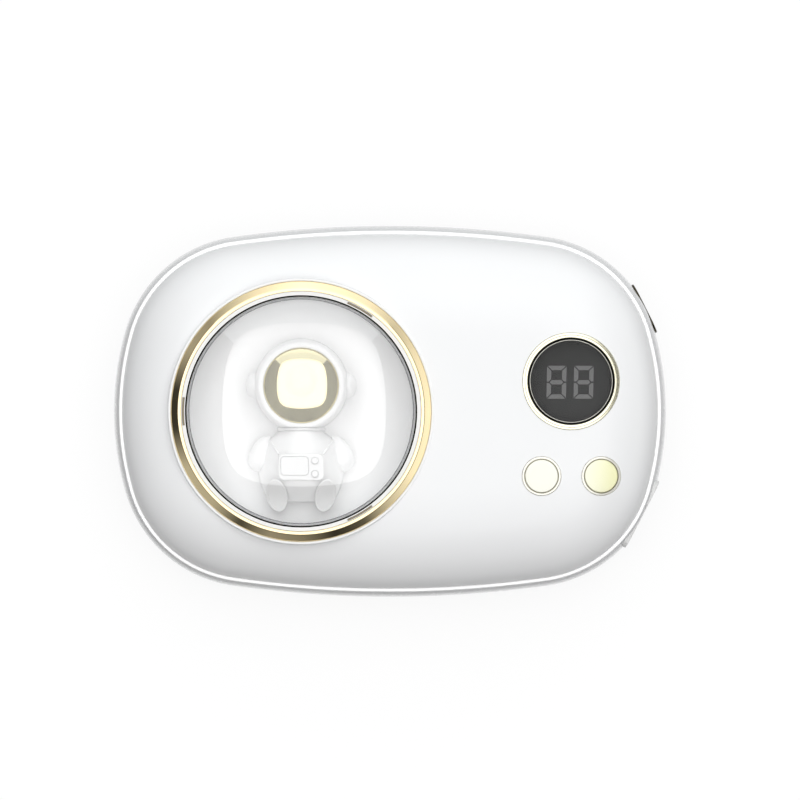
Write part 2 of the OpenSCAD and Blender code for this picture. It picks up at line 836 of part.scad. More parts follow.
// Display: rings and window that follow the front's surface
module on_front(lift) {
    intersection() {
        children();
        under_front(lift);
    }
}
module display_bezel() {
    color("gold") on_front(ring_proud) at_display(display_skirt_z)
        tube(display_radius, surround_radius + fit_gap, front_rise);
}
module display_surround() {
    color("black") on_front(0) at_display(display_skirt_z)
        tube(surround_radius, window_radius + fit_gap, front_rise);
}
module display_window() {
    color("dimgray") on_front(-window_sunk) at_display(window_z)
        cylinder(h = front_rise, r = window_radius);
}
module display_module() {
    margin = 0.8;
    size = [2 * digit_width + digit_space + 2 * margin, digit_height + 2 * margin];
    color([0.15, 0.15, 0.15]) at_display(control_top)
        rounded_block([size.x, size.y, window_z - segment_height - control_top], margin);
}
// One stroke of a digit, with mitred ends
module segment(length) {
    half = length / 2 - segment_gap;
    mitre = stroke / 2;
    linear_extrude(segment_height) polygon([
        [-half, 0], [-half + mitre, mitre], [half - mitre, mitre],
        [half, 0], [half - mitre, -mitre], [-half + mitre, -mitre]
    ]);
}
module digit() {
    across_x = digit_width - stroke;
    up_y = (digit_height - stroke) / 2;
    for (y = [-1, 0, 1]) {
        translate([0, y * up_y, 0]) segment(across_x);
    }
    for (x = [-1, 1], y = [-1, 1]) {
        translate([x * across_x / 2, y * up_y / 2, 0]) rotate([0, 0, 90]) segment(up_y);
    }
}
module digit_segments() {
    color("gray") at_display(window_z - segment_height) for (side = [-1, 1]) {
        translate([side * (digit_width + digit_space) / 2, 0, 0]) digit();
    }
}

// Buttons: a cap in a gold sleeve, over a switch on the board
module button_bezel(x) {
    color("gold") on_front(ring_proud) at_button(x, boss_z) tube(bezel_radius, bezel_bore, front_rise);
}
module button_cap(x) {
    color("lemonchiffon") {
        on_front(cap_proud) at_button(x, cap_z) cylinder(h = front_rise, r = cap_radius);
        at_button(x, cap_z) cylinder(h = cap_flange, r = cap_radius + cap_flange_width);
    }
}
module switch_body(x) {
    color("dimgray") at_button(x, control_top) difference() {
        rounded_block([switch_size, switch_size, switch_height], part_corner);
        translate([0, 0, switch_height - plunger_sunk - button_travel - seam_gap])
            cylinder(h = switch_height, r = plunger_radius + fit_gap, $fn = 32);
    }
}
module switch_plunger(x) {
    color("black") at_button(x, switch_top - plunger_sunk)
        cylinder(h = plunger_sunk + plunger_proud, r = plunger_radius, $fn = 32);
}

// Sockets: a trim in the wall, a bent metal shell and a tongue
module socket_trim(width, height, corner, tint) {
    color(tint) translate([trim_face(width) - trim_depth, 0, 0]) difference() {
        grown_block(width, height, corner, trim_depth, trim_frame);
        translate([-over, 0, 0]) grown_block(width, height, corner, trim_depth + 2 * over, fit_gap);
    }
}
module socket_shell(width, height, depth, corner) {
    face = trim_face(width) - socket_sunk;
    color("silver") translate([face - depth, 0, 0]) rotate([90, 0, 90]) difference() {
        rounded_block([width, height, depth], corner);
        translate([0, 0, socket_sheet]) rounded_block(
            [width - 2 * socket_sheet, height - 2 * socket_sheet, depth],
            corner - socket_sheet
        );
    }
}
module socket_tongue(width, size, depth, lift) {
    face = trim_face(width) - socket_sunk;
    color("black") translate([face - depth + socket_sheet, -size.y / 2, lift - size.z / 2]) cube(size);
}

// Boards: the main one at the sockets, and one behind the display and buttons
module board_outline(inset, start, width) {
    intersection() {
        polygon(outline(inset));
        translate([start, -width / 2]) square([body_length, width]);
    }
}
module main_board() {
    color("darkgreen") difference() {
        translate([0, 0, board_z]) linear_extrude(board_height)
            board_outline(board_inset, board_x, board_width);
        for (p = board_screw_at) {
            translate([p.x, p.y, board_z - over])
                cylinder(h = board_height + 2 * over, r = screw_radius + seam_gap, $fn = 32);
        }
    }
}
module control_board() {
    color("darkgreen") difference() {
        translate([0, 0, control_z]) linear_extrude(control_height)
            board_outline(control_inset, control_x, board_width + 2 * boss_radius);
        for (p = control_screw_at) {
            translate([p.x, p.y, control_z - over])
                cylinder(h = control_height + 2 * over, r = screw_radius + seam_gap, $fn = 32);
        }
    }
}
// A pan-head screw whose head's underside is at z = 0 and whose shank points down
module screw(length) {
    slot_width = 0.4;
    translate([0, 0, -length]) cylinder(h = length, r = screw_radius, $fn = 24);
    difference() {
        cylinder(h = screw_head_height, r = screw_head, $fn = 32);
        for (turn = [0, 90]) {
            rotate([0, 0, turn]) translate([-screw_head / 2, -slot_width / 2, screw_head_height / 2])
                cube([screw_head, slot_width, screw_head_height]);
        }
    }
}
module main_board_screws() {
    color("silver") for (p = board_screw_at) {
        translate([p.x, p.y, board_top]) screw(board_height + board_lift / 2 - seam_gap);
    }
}
module control_board_screws() {
    color("silver") for (p = control_screw_at) {
        translate([p.x, p.y, control_z]) rotate([180, 0, 0])
            screw(control_height + screw_length - seam_gap);
    }
}
module frame_screws() {
    color("silver") for (p = frame_screw_at) {
        translate([p.x, p.y, back_height]) screw(plate_height + screw_length - seam_gap);
    }
}

// Parts on the main board
module charger_chip() {
    chip_size = [5, 5, 1];
    color([0.1, 0.1, 0.1]) translate([ribbon_x + chip_size.x, 0, board_top])
        rounded_block(chip_size, part_corner);
}
module boost_inductor() {
    inductor_size = [5, 5, 3];
    inductor_corner = 1;
    at = [
        ribbon_x - ribbon_inset + inductor_size.x / 2,
        -(ribbon_size.y + inductor_size.y) / 2 - part_gap
    ];
    color([0.2, 0.2, 0.2]) translate([at.x, at.y, board_top])
        rounded_block(inductor_size, inductor_corner);
}
module filter_capacitors() {
    can_radius = 1.4;
    can_height = 4;
    can_gap = 0.2;
    can_count = 3;
    can_x = ribbon_x + ribbon_size.x + part_gap + can_radius;
    first_y = ribbon_size.y / 2 + part_gap + can_radius;
    color("silver") for (i = [0 : can_count - 1]) {
        translate([can_x, first_y + i * (2 * can_radius + can_gap), board_top])
            cylinder(h = can_height, r = can_radius, $fn = 32);
    }
}
module board_ribbon() {
    color("peru") translate([ribbon_x, -ribbon_size.y / 2, board_top])
        cube([ribbon_size.x, ribbon_size.y, control_z - board_top]);
}

// Battery, heater and lamp
module battery_block(z, height, shrink) {
    translate([battery_x + battery_length / 2, 0, z])
        rounded_block([battery_length - shrink, battery_width - shrink, height], battery_corner);
}
module battery_cell() {
    color("steelblue") battery_block(battery_z, battery_height, 0);
}
module battery_foam() {
    color("gray") battery_block(foam_z, foam_height, 2 * foam_margin);
}
module battery_top_foam() {
    color("gray") battery_block(plate_z - top_foam_height, top_foam_height, 2 * foam_margin);
}
module battery_leads() {
    lead_drop = 2;
    lead_end = battery_x + battery_length;
    color("red") for (side = [-1, 1]) {
        translate([lead_end, side * lead_drop, board_top + lead_radius]) rotate([0, 90, 0])
            cylinder(h = board_clear + lead_drop, r = lead_radius, $fn = 24);
    }
}
module spreader_block(z, height, shrink) {
    translate([spreader_x + spreader_size.x / 2, 0, z])
        rounded_block([spreader_size.x - shrink, spreader_size.y - shrink, height], battery_corner);
}
module heat_spreader() {
    color("lightgray") spreader_block(spreader_z, spreader_height, 0);
}
module heater_film() {
    color("darkorange") spreader_block(film_z, film_height, spreader_margin / 2);
}
module heater_leads() {
    lead_inset = 1.2;
    lead_half_gap = 2.4;
    color("black") for (side = [-1, 1]) {
        translate([board_x + lead_inset, side * lead_half_gap, spreader_z])
            cylinder(h = board_z - spreader_z, r = lead_radius, $fn = 24);
    }
}
module thermistor() {
    bead = [1.2, 2.4, 0.8];
    color("darkgreen") translate([battery_x + battery_length + bead.x, 0, foam_z])
        rounded_block([bead.x, bead.y, bead.z], bead.z / 2);
}
module lamp_board() {
    lamp_radius_share = 0.5;
    lamp_radius = dish_radius * lamp_radius_share;
    color("white") at_port(lamp_z) cylinder(h = lamp_board_height, r = lamp_radius);
}
module lamp_leds() {
    led_size = 2.8;
    led_ring_share = 0.333;
    led_ring = dish_radius * led_ring_share;
    led_count = 6;
    color("khaki") at_port(led_z) for (i = [0 : led_count - 1]) {
        rotate([0, 0, 360 * i / led_count]) translate([led_ring, 0, 0])
            rounded_block([led_size, led_size, led_height], part_corner);
    }
}

front_shell();
back_shell();
middle_frame();
porthole_bezel();
dome_lens();
dome_retainer();
dome_clips();
dome_gasket();
backdrop_dish();
figure_helmet();
figure_visor();
figure_body();
figure_chest_pack();
display_bezel();
display_surround();
display_window();
display_module();
digit_segments();
button_bezel(heat_x);  // heat_button_bezel
button_bezel(light_x);  // light_button_bezel
button_cap(heat_x);  // heat_button_cap
button_cap(light_x);  // light_button_cap
switch_body(heat_x);  // heat_switch_body
switch_body(light_x);  // light_switch_body
switch_plunger(heat_x);  // heat_switch_plunger
switch_plunger(light_x);  // light_switch_plunger
control_board();
control_board_screws();
at_socket(usb_c_angle, usb_c_z) socket_trim(usb_c_width, usb_c_height, usb_c_corner, "gold");  // usb_c_trim
at_socket(usb_c_angle, usb_c_z) socket_shell(usb_c_width, usb_c_height, usb_c_depth, usb_c_corner);  // usb_c_shell
at_socket(usb_c_angle, usb_c_z) socket_tongue(usb_c_width, usb_c_tongue_size, usb_c_depth, 0);  // usb_c_tongue
at_socket(-usb_a_angle, usb_a_z)  // usb_a_trim
        socket_trim(usb_a_width, usb_a_height, usb_a_corner, "gainsboro");
at_socket(-usb_a_angle, usb_a_z) socket_shell(usb_a_width, usb_a_height, usb_a_depth, usb_a_corner);  // usb_a_shell
at_socket(-usb_a_angle, usb_a_z)  // usb_a_tongue
        socket_tongue(usb_a_width, usb_a_tongue_size, usb_a_depth, usb_a_tongue_lift);
main_board();
main_board_screws();
charger_chip();
boost_inductor();
filter_capacitors();
board_ribbon();
battery_cell();
battery_foam();
battery_top_foam();
battery_leads();
heat_spreader();
heater_film();
heater_leads();
thermistor();
lamp_board();
lamp_leds();
frame_screws();
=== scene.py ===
# The finish of a rechargeable hand warmer: its shaped pieces, materials, light and camera.
# Sizes are in millimetres, in the model's own frame, and become metres as each mesh is made.
import json
from math import asin, atan2, copysign, cos, hypot, pi, radians, sin, sqrt, tan

import bmesh
import bpy
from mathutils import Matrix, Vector
from mathutils.geometry import delaunay_2d_cdt


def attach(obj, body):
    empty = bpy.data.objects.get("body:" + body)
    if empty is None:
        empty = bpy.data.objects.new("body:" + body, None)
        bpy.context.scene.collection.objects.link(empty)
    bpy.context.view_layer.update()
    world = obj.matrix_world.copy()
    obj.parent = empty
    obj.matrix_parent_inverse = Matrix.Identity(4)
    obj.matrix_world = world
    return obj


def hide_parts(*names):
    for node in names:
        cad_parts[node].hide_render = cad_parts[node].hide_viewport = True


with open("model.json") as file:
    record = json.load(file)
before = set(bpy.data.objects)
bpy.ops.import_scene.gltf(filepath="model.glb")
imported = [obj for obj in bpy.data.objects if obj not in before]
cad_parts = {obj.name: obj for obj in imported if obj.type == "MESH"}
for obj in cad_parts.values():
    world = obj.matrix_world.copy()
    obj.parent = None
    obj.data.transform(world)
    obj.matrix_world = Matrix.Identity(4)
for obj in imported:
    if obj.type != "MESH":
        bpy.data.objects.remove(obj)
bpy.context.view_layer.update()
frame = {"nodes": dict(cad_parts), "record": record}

MM = 0.001
TAU = 2 * pi
RIGHT = pi / 2
UP = Vector((0, 0, 1))

# Body outline, shells and frame
body_length = 110.4
body_width = 74.2
end_radius = 58.7
side_radius = 224.8
corner_radius = 26.2
deepest_arc = 23
wall = 1.8
back_height = 15.5
bulge_height = 10.5
shoulder_inset = 1.0
foot_round = 15
band_height = 0.8
plate_height = 1.2
tongue_height = 1.5
tongue_gap = 0.25
tongue_width = 1.2
front_inset = 1.65
front_rise = 12.2
front_round = 20
crown = 0.5
round_power = 2.2
fit_gap = 0.05
seam_gap = 0.1
half_length = body_length / 2
half_width = body_width / 2
front_z = back_height + band_height
front_top = front_z + front_rise + crown

# Porthole
port = (37.5 - half_length, 0)
dome_radius = 22.9
dome_rise = 5.6
retainer_radius = dome_radius + 1
port_radius = retainer_radius + fit_gap + 2
lip_radius = port_radius + fit_gap + 0.5
lip_z = front_top + 0.1
ring_z = lip_z - 0.5
ring_top = ring_z + 1.5
collar_z = ring_z - 3.8
skirt_radius = retainer_radius + fit_gap + 0.55
retainer_height = 1.5
retainer_z = ring_top - retainer_height - fit_gap
retainer_top = ring_top - fit_gap
dome_flange = 0.9
dome_flange_z = retainer_z - dome_flange
gasket_z = dome_flange_z - 0.4
dome_base = retainer_z + dome_flange
dome_sphere = (dome_radius ** 2 + dome_rise ** 2) / (2 * dome_rise)
dome_top = dome_base + dome_rise
lamp_board_height = 1
led_height = 0.6
dish_z = back_height + lamp_board_height + led_height + seam_gap
dish_floor = dish_z + 1.4
dish_inner = retainer_radius - 1.3
dish_flange_height = 1.5
clip_turns = [radians(turn) for turn in (60, 180, 300)]
clip_length = 5.8
clip_inner = dome_radius + 0.41
clip_outer = clip_inner + 0.45
clip_half_turn = clip_length / 2 / clip_outer
# The black lip round the dome paints the shadow of the gap between the dome and its ring
shade_lip_outer = dome_radius + 0.22
shade_lip_overlap = 0.07
shade_lip_depth = 0.5
gasket_inner = dome_radius - 0.62

# Display and buttons
display_from_end = 19.1
display = (half_length - display_from_end, 6)
display_radius = 9.65
surround_radius = display_radius - 1
window_radius = surround_radius - 0.5
window_sunk = 0.1
window_least = 1.4
# Width of the pale ring that paints the highlight round the display's window
highlight_ring_width = 0.05
mask_depth = 0.22
ring_proud = 0.15
ring_depth = 3.3
sleeve_depth = 2.3
buttons_x = half_length - 19.05
button_spacing = 11.9
button_drop = 12.9
heat_at = (buttons_x - button_spacing / 2, -button_drop)
light_at = (buttons_x + button_spacing / 2, -button_drop)
cap_radius = 3.25
cap_proud = 0.25
cap_flange = 0.8
cap_flange_width = 1.3
bezel_bore = cap_radius + 0.08
bezel_radius = bezel_bore + 0.54
control_lift = 1.3
control_height = 1.2
switch_height = 2.4
plunger_proud = 0.8
cap_z = front_z + control_lift + control_height + switch_height + plunger_proud

# Sockets
usb_c_turn = radians(26.6)
usb_c_size = (8.94, 3.26)
usb_c_corner = 1.48
usb_c_depth = 7.35
usb_c_bow = 0.15
usb_a_turn = radians(-27.3)
usb_a_size = (13.1, 5.7)
usb_a_corner = 0.6
usb_a_depth = 14
usb_a_bow = 0.25
usb_a_tongue_lift = 1.1
usb_a_tongue_height = 1.9
trim_proud = 0.45
trim_frame = 0.9
trim_depth = 2.3
socket_sunk = 0.5
socket_sheet = 0.3
board_lift = 4.6
board_height = 1.6
board_top = wall + board_lift + board_height
usb_c_z = board_top + usb_c_size[1] / 2
usb_a_z = board_top + usb_a_size[1] / 2

# Figure, in relief on the dish
helmet_radius = 9.44
helmet_up = 5.14
visor_radius = 7.5
visor_seat_z = 24.59
visor_edge = 1.4
belly_radius = 8.55
relief = dome_flange_z - dish_floor
helmet_z = dish_floor + relief * 0.4
neck_y = helmet_up - 8.24
neck_height = 0.85
torso_top = neck_y - neck_height
torso_length = 14.2
torso_width_shares = [0.53, 0.62, 0.77, 0.9, 1, 1, 0.93, 0.84, 0.7]
torso_place_shares = [0, 0.05, 0.12, 0.28, 0.5, 0.62, 0.78, 0.9, 1]
pack_size = (9.2, 5.3)
pack_y = torso_top - 7.2

# The outline: end, corner and side arcs, each tangent to the next
end_centre = Vector((half_length - end_radius, 0))
side_centre = Vector((0, half_width - side_radius))
end_reach = end_radius - corner_radius
side_reach = side_radius - corner_radius
centre_line = side_centre - end_centre
centre_gap = centre_line.length
along = (end_reach ** 2 - side_reach ** 2 + centre_gap ** 2) / (2 * centre_gap)
across = sqrt(end_reach ** 2 - along ** 2)
line_way = centre_line / centre_gap
corner_centre = end_centre + along * line_way + across * Vector((-line_way.y, line_way.x))
end_turn = atan2(corner_centre.y - end_centre.y, corner_centre.x - end_centre.x)
side_turn = atan2(corner_centre.y - side_centre.y, corner_centre.x - side_centre.x)
end_arc = (end_centre, end_radius)
side_arc = (side_centre, side_radius)
corner_arc = (corner_centre, corner_radius)


def spread(low, high, steps):
    """Evenly spaced values from low up to, but without, high."""
    return [low + (high - low) * i / steps for i in range(steps)]


def bend(steps):
    """How far along and how far up a quarter round goes at each step, as shares of its radius."""
    quarter = [RIGHT * i / steps for i in range(steps + 1)]
    return [(sin(turn), 1 - cos(turn)) for turn in quarter]


def around(centre, reach, angle):
    """The point at a distance and an angle from a centre."""
    return centre[0] + reach * cos(angle), centre[1] + reach * sin(angle)


def outline_turns(end_steps=9, corner_steps=36, side_steps=35):
    """Directions that the outline faces, once round it."""
    quarter = spread(0, end_turn, end_steps) + spread(end_turn, side_turn, corner_steps)
    quarter += spread(side_turn, RIGHT, side_steps)
    half = quarter + [RIGHT] + [pi - turn for turn in reversed(quarter[1:])]
    return half + [pi + turn for turn in half]


turns = outline_turns()


def rim(turn, inset=0.0):
    """A point of the outline, moved in by inset."""
    folded = atan2(abs(sin(turn)), abs(cos(turn)))
    arc = corner_arc
    if folded <= end_turn:
        arc = end_arc
    elif folded >= side_turn:
        arc = side_arc
    x, y = around(arc[0], arc[1] - inset, folded)
    return copysign(x, cos(turn)), copysign(y, sin(turn))


def arc_facing(x, y):
    """Centre and radius of the outline's arc that faces a point of the first quadrant."""
    if atan2(y - end_centre.y, x - end_centre.x) <= end_turn:
        return end_arc
    if atan2(y - side_centre.y, x - side_centre.x) >= side_turn:
        return side_arc
    return corner_arc


def arc_inset(x, y):
    """How far inside the outline a point of the first quadrant lies, by the arc that faces it."""
    centre, radius = arc_facing(x, y)
    return radius - hypot(x - centre.x, y - centre.y)


def inset_at(x, y):
    """How far inside the outline any point lies. Past the deepest arc the outline shrinks to a point."""
    x, y = abs(x), abs(y)
    inset = arc_inset(x, y)
    if inset <= deepest_arc:
        return inset
    low, high = 0.0, 1.0
    for _ in range(24):
        middle = (low + high) / 2
        if arc_inset(x / middle, y / middle) > deepest_arc:
            high = middle
        else:
            low = middle
    return half_width - high * (half_width - deepest_arc)


def crown_at(inset):
    return crown * (1 - (1 - (inset - front_inset) / (half_width - front_inset)) ** 2)


def rounded_rise(inset, start, width, rise):
    """Height of a rounded edge that starts at one inset and ends a width further in."""
    left_share = 1 - min(max(inset - start, 0), width) / width
    return rise * (1 - left_share ** round_power) ** (1 / round_power)


def front_height(inset, sunk=0):
    """Height of the front's surface at an inset, or of the skin that lies sunk under it."""
    rise = rounded_rise(inset, front_inset + sunk, front_round - sunk, front_rise - sunk)
    return front_z + rise + crown_at(inset)


def front_at(x, y):
    return front_height(inset_at(x, y))


def front_inside_at(x, y):
    return front_height(inset_at(x, y), wall)


def lifted(lift):
    """A rule for heights that lie lift over the front's surface."""
    return lambda x, y: front_at(x, y) + lift


def edge_share(step, steps):
    return 1 - max(cos(RIGHT * step / steps), 0) ** (2 / round_power)


def rise_share(step, steps):
    return sin(RIGHT * step / steps) ** (2 / round_power)


class Shape:
    """Points in millimetres, and the faces over them."""

    def __init__(self):
        self.points = []
        self.faces = []

    def row(self, points):
        start = len(self.points)
        self.points.extend(points)
        return list(range(start, start + len(points)))

    def rim_row(self, inset, z):
        """A row round the body, moved in from its outline."""
        return self.row([(*rim(turn, inset), z) for turn in turns])

    def bridge(self, low, high):
        """Joins two closed rows with quads, or a row to a single point with triangles."""
        if len(low) == 1:
            low, high = high, low
        if len(low) == 1:
            return
        for i in range(len(low)):
            j = (i + 1) % len(low)
            tops = high if len(high) == 1 else (high[j], high[i])
            self.faces.append((low[i], low[j], *tops))

    def stack(self, rows, loop=False):
        for low, high in zip(rows, rows[1:]):
            self.bridge(low, high)
        if loop:
            self.bridge(rows[-1], rows[0])

    def cap(self, row):
        self.faces.append(tuple(row))

    def solid(self, rows):
        """Joins rows of points, and closes both ends."""
        numbers = [self.row(points) for points in rows]
        self.stack(numbers)
        self.cap(numbers[0])
        self.cap(numbers[-1])
        return self

    def seen_flat(self, row):
        """A row's points as seen from above."""
        return [Vector(self.points[index][:2]) for index in row]

    def moved(self, rule):
        self.points = [rule(*point) for point in self.points]
        return self

    def joined(self, other):
        start = len(self.points)
        self.points.extend(other.points)
        self.faces.extend(tuple(start + i for i in face) for face in other.faces)
        return self


def rounded(corners, steps=5):
    """A closed outline in which each corner (x, y, radius) is an arc."""
    outline = []
    for i, (x, y, radius) in enumerate(corners):
        if radius <= 0:
            outline.append((x, y))
            continue
        here = Vector((x, y))
        to_last = (Vector(corners[i - 1][:2]) - here).normalized()
        to_next = (Vector(corners[(i + 1) % len(corners)][:2]) - here).normalized()
        half = to_last.angle(to_next) / 2
        centre = here + (to_last + to_next).normalized() * radius / sin(half)
        start = here + to_last * radius / tan(half) - centre
        end = here + to_next * radius / tan(half) - centre
        first = atan2(start.y, start.x)
        swing = (atan2(end.y, end.x) - first + pi) % TAU - pi
        outline += [around(centre, radius, first + swing * k / steps) for k in range(steps + 1)]
    return outline


def rounded_rectangle(width, height, corner, steps=8):
    x, y = width / 2, height / 2
    return rounded([(x, -y, corner), (x, y, corner), (-x, y, corner), (-x, -y, corner)], steps)


def block_rows(width, height, corner, stations):
    """Outlines of a rounded block, from stations of level and growth."""
    rows = []
    for level, growth in stations:
        outline = rounded_rectangle(width + 2 * growth, height + 2 * growth, corner + growth)
        rows.append([(x, y, level) for x, y in outline])
    return rows


def circle_row(centre, radius, z, segments):
    """Points round a centre. The height may be a rule of x and y, and the radius one of the angle."""
    points = []
    for angle in spread(0, TAU, 1 if radius == 0 else segments):
        x, y = around(centre, radius(angle) if callable(radius) else radius, angle)
        points.append((x, y, z(x, y) if callable(z) else z))
    return points


def lathe(profile, centre=(0, 0), segments=192, loop=True):
    """A turned shape from pairs of radius and height. A loop closes on itself off the axis."""
    shape = Shape()
    shape.stack([shape.row(circle_row(centre, radius, z, segments)) for radius, z in profile], loop)
    return shape


def ring_section(inner, outer, foot, top, softs=(0, 0)):
    """The section of a ring, with its inner and outer upper edges rounded."""
    inner_soft, outer_soft = softs
    corners = [(inner, foot, 0), (inner, top, inner_soft), (outer, top, outer_soft), (outer, foot, 0)]
    return rounded(corners, 3)


def front_ring(centre, inner, outer, foot, top, softs=(0, 0), segments=160):
    """A ring whose heights are measured from the front's surface."""
    section = ring_section(inner, outer, foot, top, softs)
    return lathe([(radius, lifted(lift)) for radius, lift in section], centre, segments)


def triangulated(loops, inner=()):
    """Triangles between the first loop and the others, as places in a list of all the points."""
    flat = [point for loop in loops for point in loop] + list(inner)
    member = [number for number, loop in enumerate(loops) for _ in loop] + [-1] * len(inner)
    edges = []
    for loop in loops:
        start = len(edges)
        edges += [(start + k, start + (k + 1) % len(loop)) for k in range(len(loop))]
    _, _, triangles, sources, _, _ = delaunay_2d_cdt(flat, edges, [], 1, 1e-6)
    chosen = []
    for triangle in triangles:
        names = [sources[corner][0] for corner in triangle]
        sides = {member[name] for name in names}
        if len(sides) > 1 or sides.pop() <= 0:
            chosen.append(names)
    return chosen


def patch(shape, outer, holes, spacing, heights):
    """Fills the space between a closed row and hole rows with triangles over a grid of points.

    The heights are rules, one for each skin, and outer and holes hold one row for each skin.
    """
    clear = spacing * 0.7
    loops = [shape.seen_flat(rows[0]) for rows in [outer] + holes]
    least = min(inset_at(*point) for point in loops[0]) + clear
    circles = []
    for ring in loops[1:]:
        middle = sum(ring, Vector((0, 0))) / len(ring)
        circles.append((middle, max((point - middle).length for point in ring) + clear))
    columns = int(half_length / spacing)
    lines = int(half_width / spacing)
    grid = []
    for i in range(-columns, columns + 1):
        for j in range(-lines, lines + 1):
            point = Vector(((i + 0.5 * (j % 2)) * spacing, j * spacing))
            outside = all((point - middle).length >= reach for middle, reach in circles)
            if outside and inset_at(*point) >= least:
                grid.append(point)
    triangles = triangulated(loops, grid)
    for skin, rule in enumerate(heights):
        numbers = [index for rows in [outer] + holes for index in rows[skin]]
        numbers += shape.row([(*point, rule(*point)) for point in grid])
        for names in triangles:
            face = [numbers[name] for name in names]
            shape.cap(face if skin == 0 else reversed(face))


def face_of(shape, rows):
    """Fills a level face between its outer row and its hole rows."""
    numbers = [index for row in rows for index in row]
    for names in triangulated([shape.seen_flat(row) for row in rows]):
        shape.cap([numbers[name] for name in names])


def smooth_curve(places, values, at):
    """The value of a smooth curve through points, at a place between them."""
    for i in range(len(places) - 1):
        if at <= places[i + 1]:
            break
    width = places[i + 1] - places[i]
    share = (at - places[i]) / width
    slopes = []
    for k in (i, i + 1):
        low, high = max(k - 1, 0), min(k + 1, len(places) - 1)
        slopes.append((values[high] - values[low]) / (places[high] - places[low]) * width)
    square, cube = share ** 2, share ** 3
    return (
        values[i] * (2 * cube - 3 * square + 1)
        + slopes[0] * (cube - 2 * square + share)
        + values[i + 1] * (3 * square - 2 * cube)
        + slopes[1] * (cube - square)
    )


def sweep(path, radii, segments):
    """A tube along a path, with a radius for each point."""
    rows = []
    for k, (point, radius) in enumerate(zip(path, radii)):
        way = (path[min(k + 1, len(path) - 1)] - path[max(k - 1, 0)]).normalized()
        side = way.cross(UP).normalized()
        up = side.cross(way)
        ring = [side * cos(angle) + up * sin(angle) for angle in spread(0, TAU, segments)]
        rows.append([tuple(point + offset * radius) for offset in ring])
    return Shape().solid(rows)


def half_round(stations, steps=36):
    """A half-round solid along Y that lies on the dish, from sets of place, radius and height."""
    rows = []
    for y, radius, height in stations:
        angles = [pi * i / steps for i in range(steps + 1)]
        rows.append([(radius * cos(a), y, dish_floor + height * sin(a)) for a in angles])
    return Shape().solid(rows)


def mesh_of(name, shape):
    """A mesh in metres, with its faces turned outwards."""
    mesh = bpy.data.meshes.new(name)
    mesh.from_pydata([(x * MM, y * MM, z * MM) for x, y, z in shape.points], [], shape.faces)
    work = bmesh.new()
    work.from_mesh(mesh)
    bmesh.ops.recalc_face_normals(work, faces=work.faces)
    work.to_mesh(mesh)
    work.free()
    return mesh


def object_of(name, data):
    """Puts a mesh or a camera in the scene."""
    made = bpy.data.objects.new(name, data)
    bpy.context.scene.collection.objects.link(made)
    return made


def smooth_angle(mesh, degrees):
    for polygon in mesh.polygons:
        polygon.use_smooth = True
    mesh.set_sharp_from_angle(angle=radians(degrees))


def set_normals(mesh, rule):
    """Gives the points of a known surface their true normals, and leaves the others as they are."""
    known = [rule(*(value / MM for value in vertex.co)) for vertex in mesh.vertices]
    flat_share = 0.8
    chosen = []
    for polygon in mesh.polygons:
        for index in polygon.vertices:
            normal = known[index]
            if normal is None or normal.dot(polygon.normal) < flat_share:
                normal = (0, 0, 0)
            chosen.append(tuple(normal))
    mesh.normals_split_custom_set(chosen)


def make_piece(name, shape, material, replaces=None, body="case", degrees=32, normals=None):
    """Makes a mesh object with a material, given by name, and puts it on its body."""
    mesh = mesh_of(name, shape)
    smooth_angle(mesh, degrees)
    mesh.materials.append(materials[material])
    piece = object_of(name, mesh)
    if normals:
        set_normals(mesh, normals)
    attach(piece, body)
    if replaces:
        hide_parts(replaces)
    return piece


def cut(piece, shape):
    """Cuts a shape out of a piece."""
    cutter = object_of("cutter", mesh_of("cutter", shape))
    modifier = piece.modifiers.new("cut", "BOOLEAN")
    modifier.operation = "DIFFERENCE"
    modifier.solver = "EXACT"
    modifier.object = cutter
    bpy.context.view_layer.update()
    graph = bpy.context.evaluated_depsgraph_get()
    result = bpy.data.meshes.new_from_object(piece.evaluated_get(graph))
    piece.modifiers.remove(modifier)
    piece.data = result
    bpy.data.objects.remove(cutter)


# Materials: node trees with grain, patches and bump at the scale of each real surface
def feed(tree, node, inputs):
    """Gives each input of a node a value, or links it to another node's output."""
    for name, value in inputs.items():
        socket = node.inputs[name]
        if isinstance(value, bpy.types.NodeSocket):
            tree.links.new(value, socket)
        elif socket.type == "RGBA":
            socket.default_value = (*value, 1)
        else:
            socket.default_value = value


def add_node(tree, kind, inputs=None, **settings):
    """Adds a shader node, sets its options and feeds its inputs."""
    node = tree.nodes.new("ShaderNode" + kind)
    for name, value in settings.items():
        setattr(node, name, value)
    feed(tree, node, inputs or {})
    return node


def tree_of(name):
    """A new material, its tree, and the shader of paint, plastic or metal in it."""
    material = bpy.data.materials.new(name)
    material.use_nodes = True
    tree = material.node_tree
    return material, tree, tree.nodes["Principled BSDF"]


def bare_tree_of(name):
    """A new material and its tree, with no node in it."""
    material, tree, _ = tree_of(name)
    tree.nodes.clear()
    return material, tree


def maths(tree, operation, first, second=0):
    return add_node(tree, "Math", {0: first, 1: second}, operation=operation).outputs[0]


def most(tree, first, *others):
    """The largest of some values."""
    for other in others:
        first = maths(tree, "MAXIMUM", first, other)
    return first


def place_of(tree, space="Object"):
    """Where a point lies, in the piece's own metres unless another space is named."""
    return add_node(tree, "TexCoord").outputs[space]


def parts_of(tree, space):
    return add_node(tree, "SeparateXYZ", {"Vector": place_of(tree, space)}).outputs


def noise(tree, size, stretch=None):
    """A noise field with waves of a size in millimetres, stretched where asked."""
    place = place_of(tree)
    if stretch:
        place = add_node(tree, "Mapping", {"Vector": place, "Scale": stretch}).outputs["Vector"]
    inputs = {"Vector": place, "Scale": 1 / (size * MM), "Detail": 3}
    return add_node(tree, "TexNoise", inputs).outputs["Fac"]


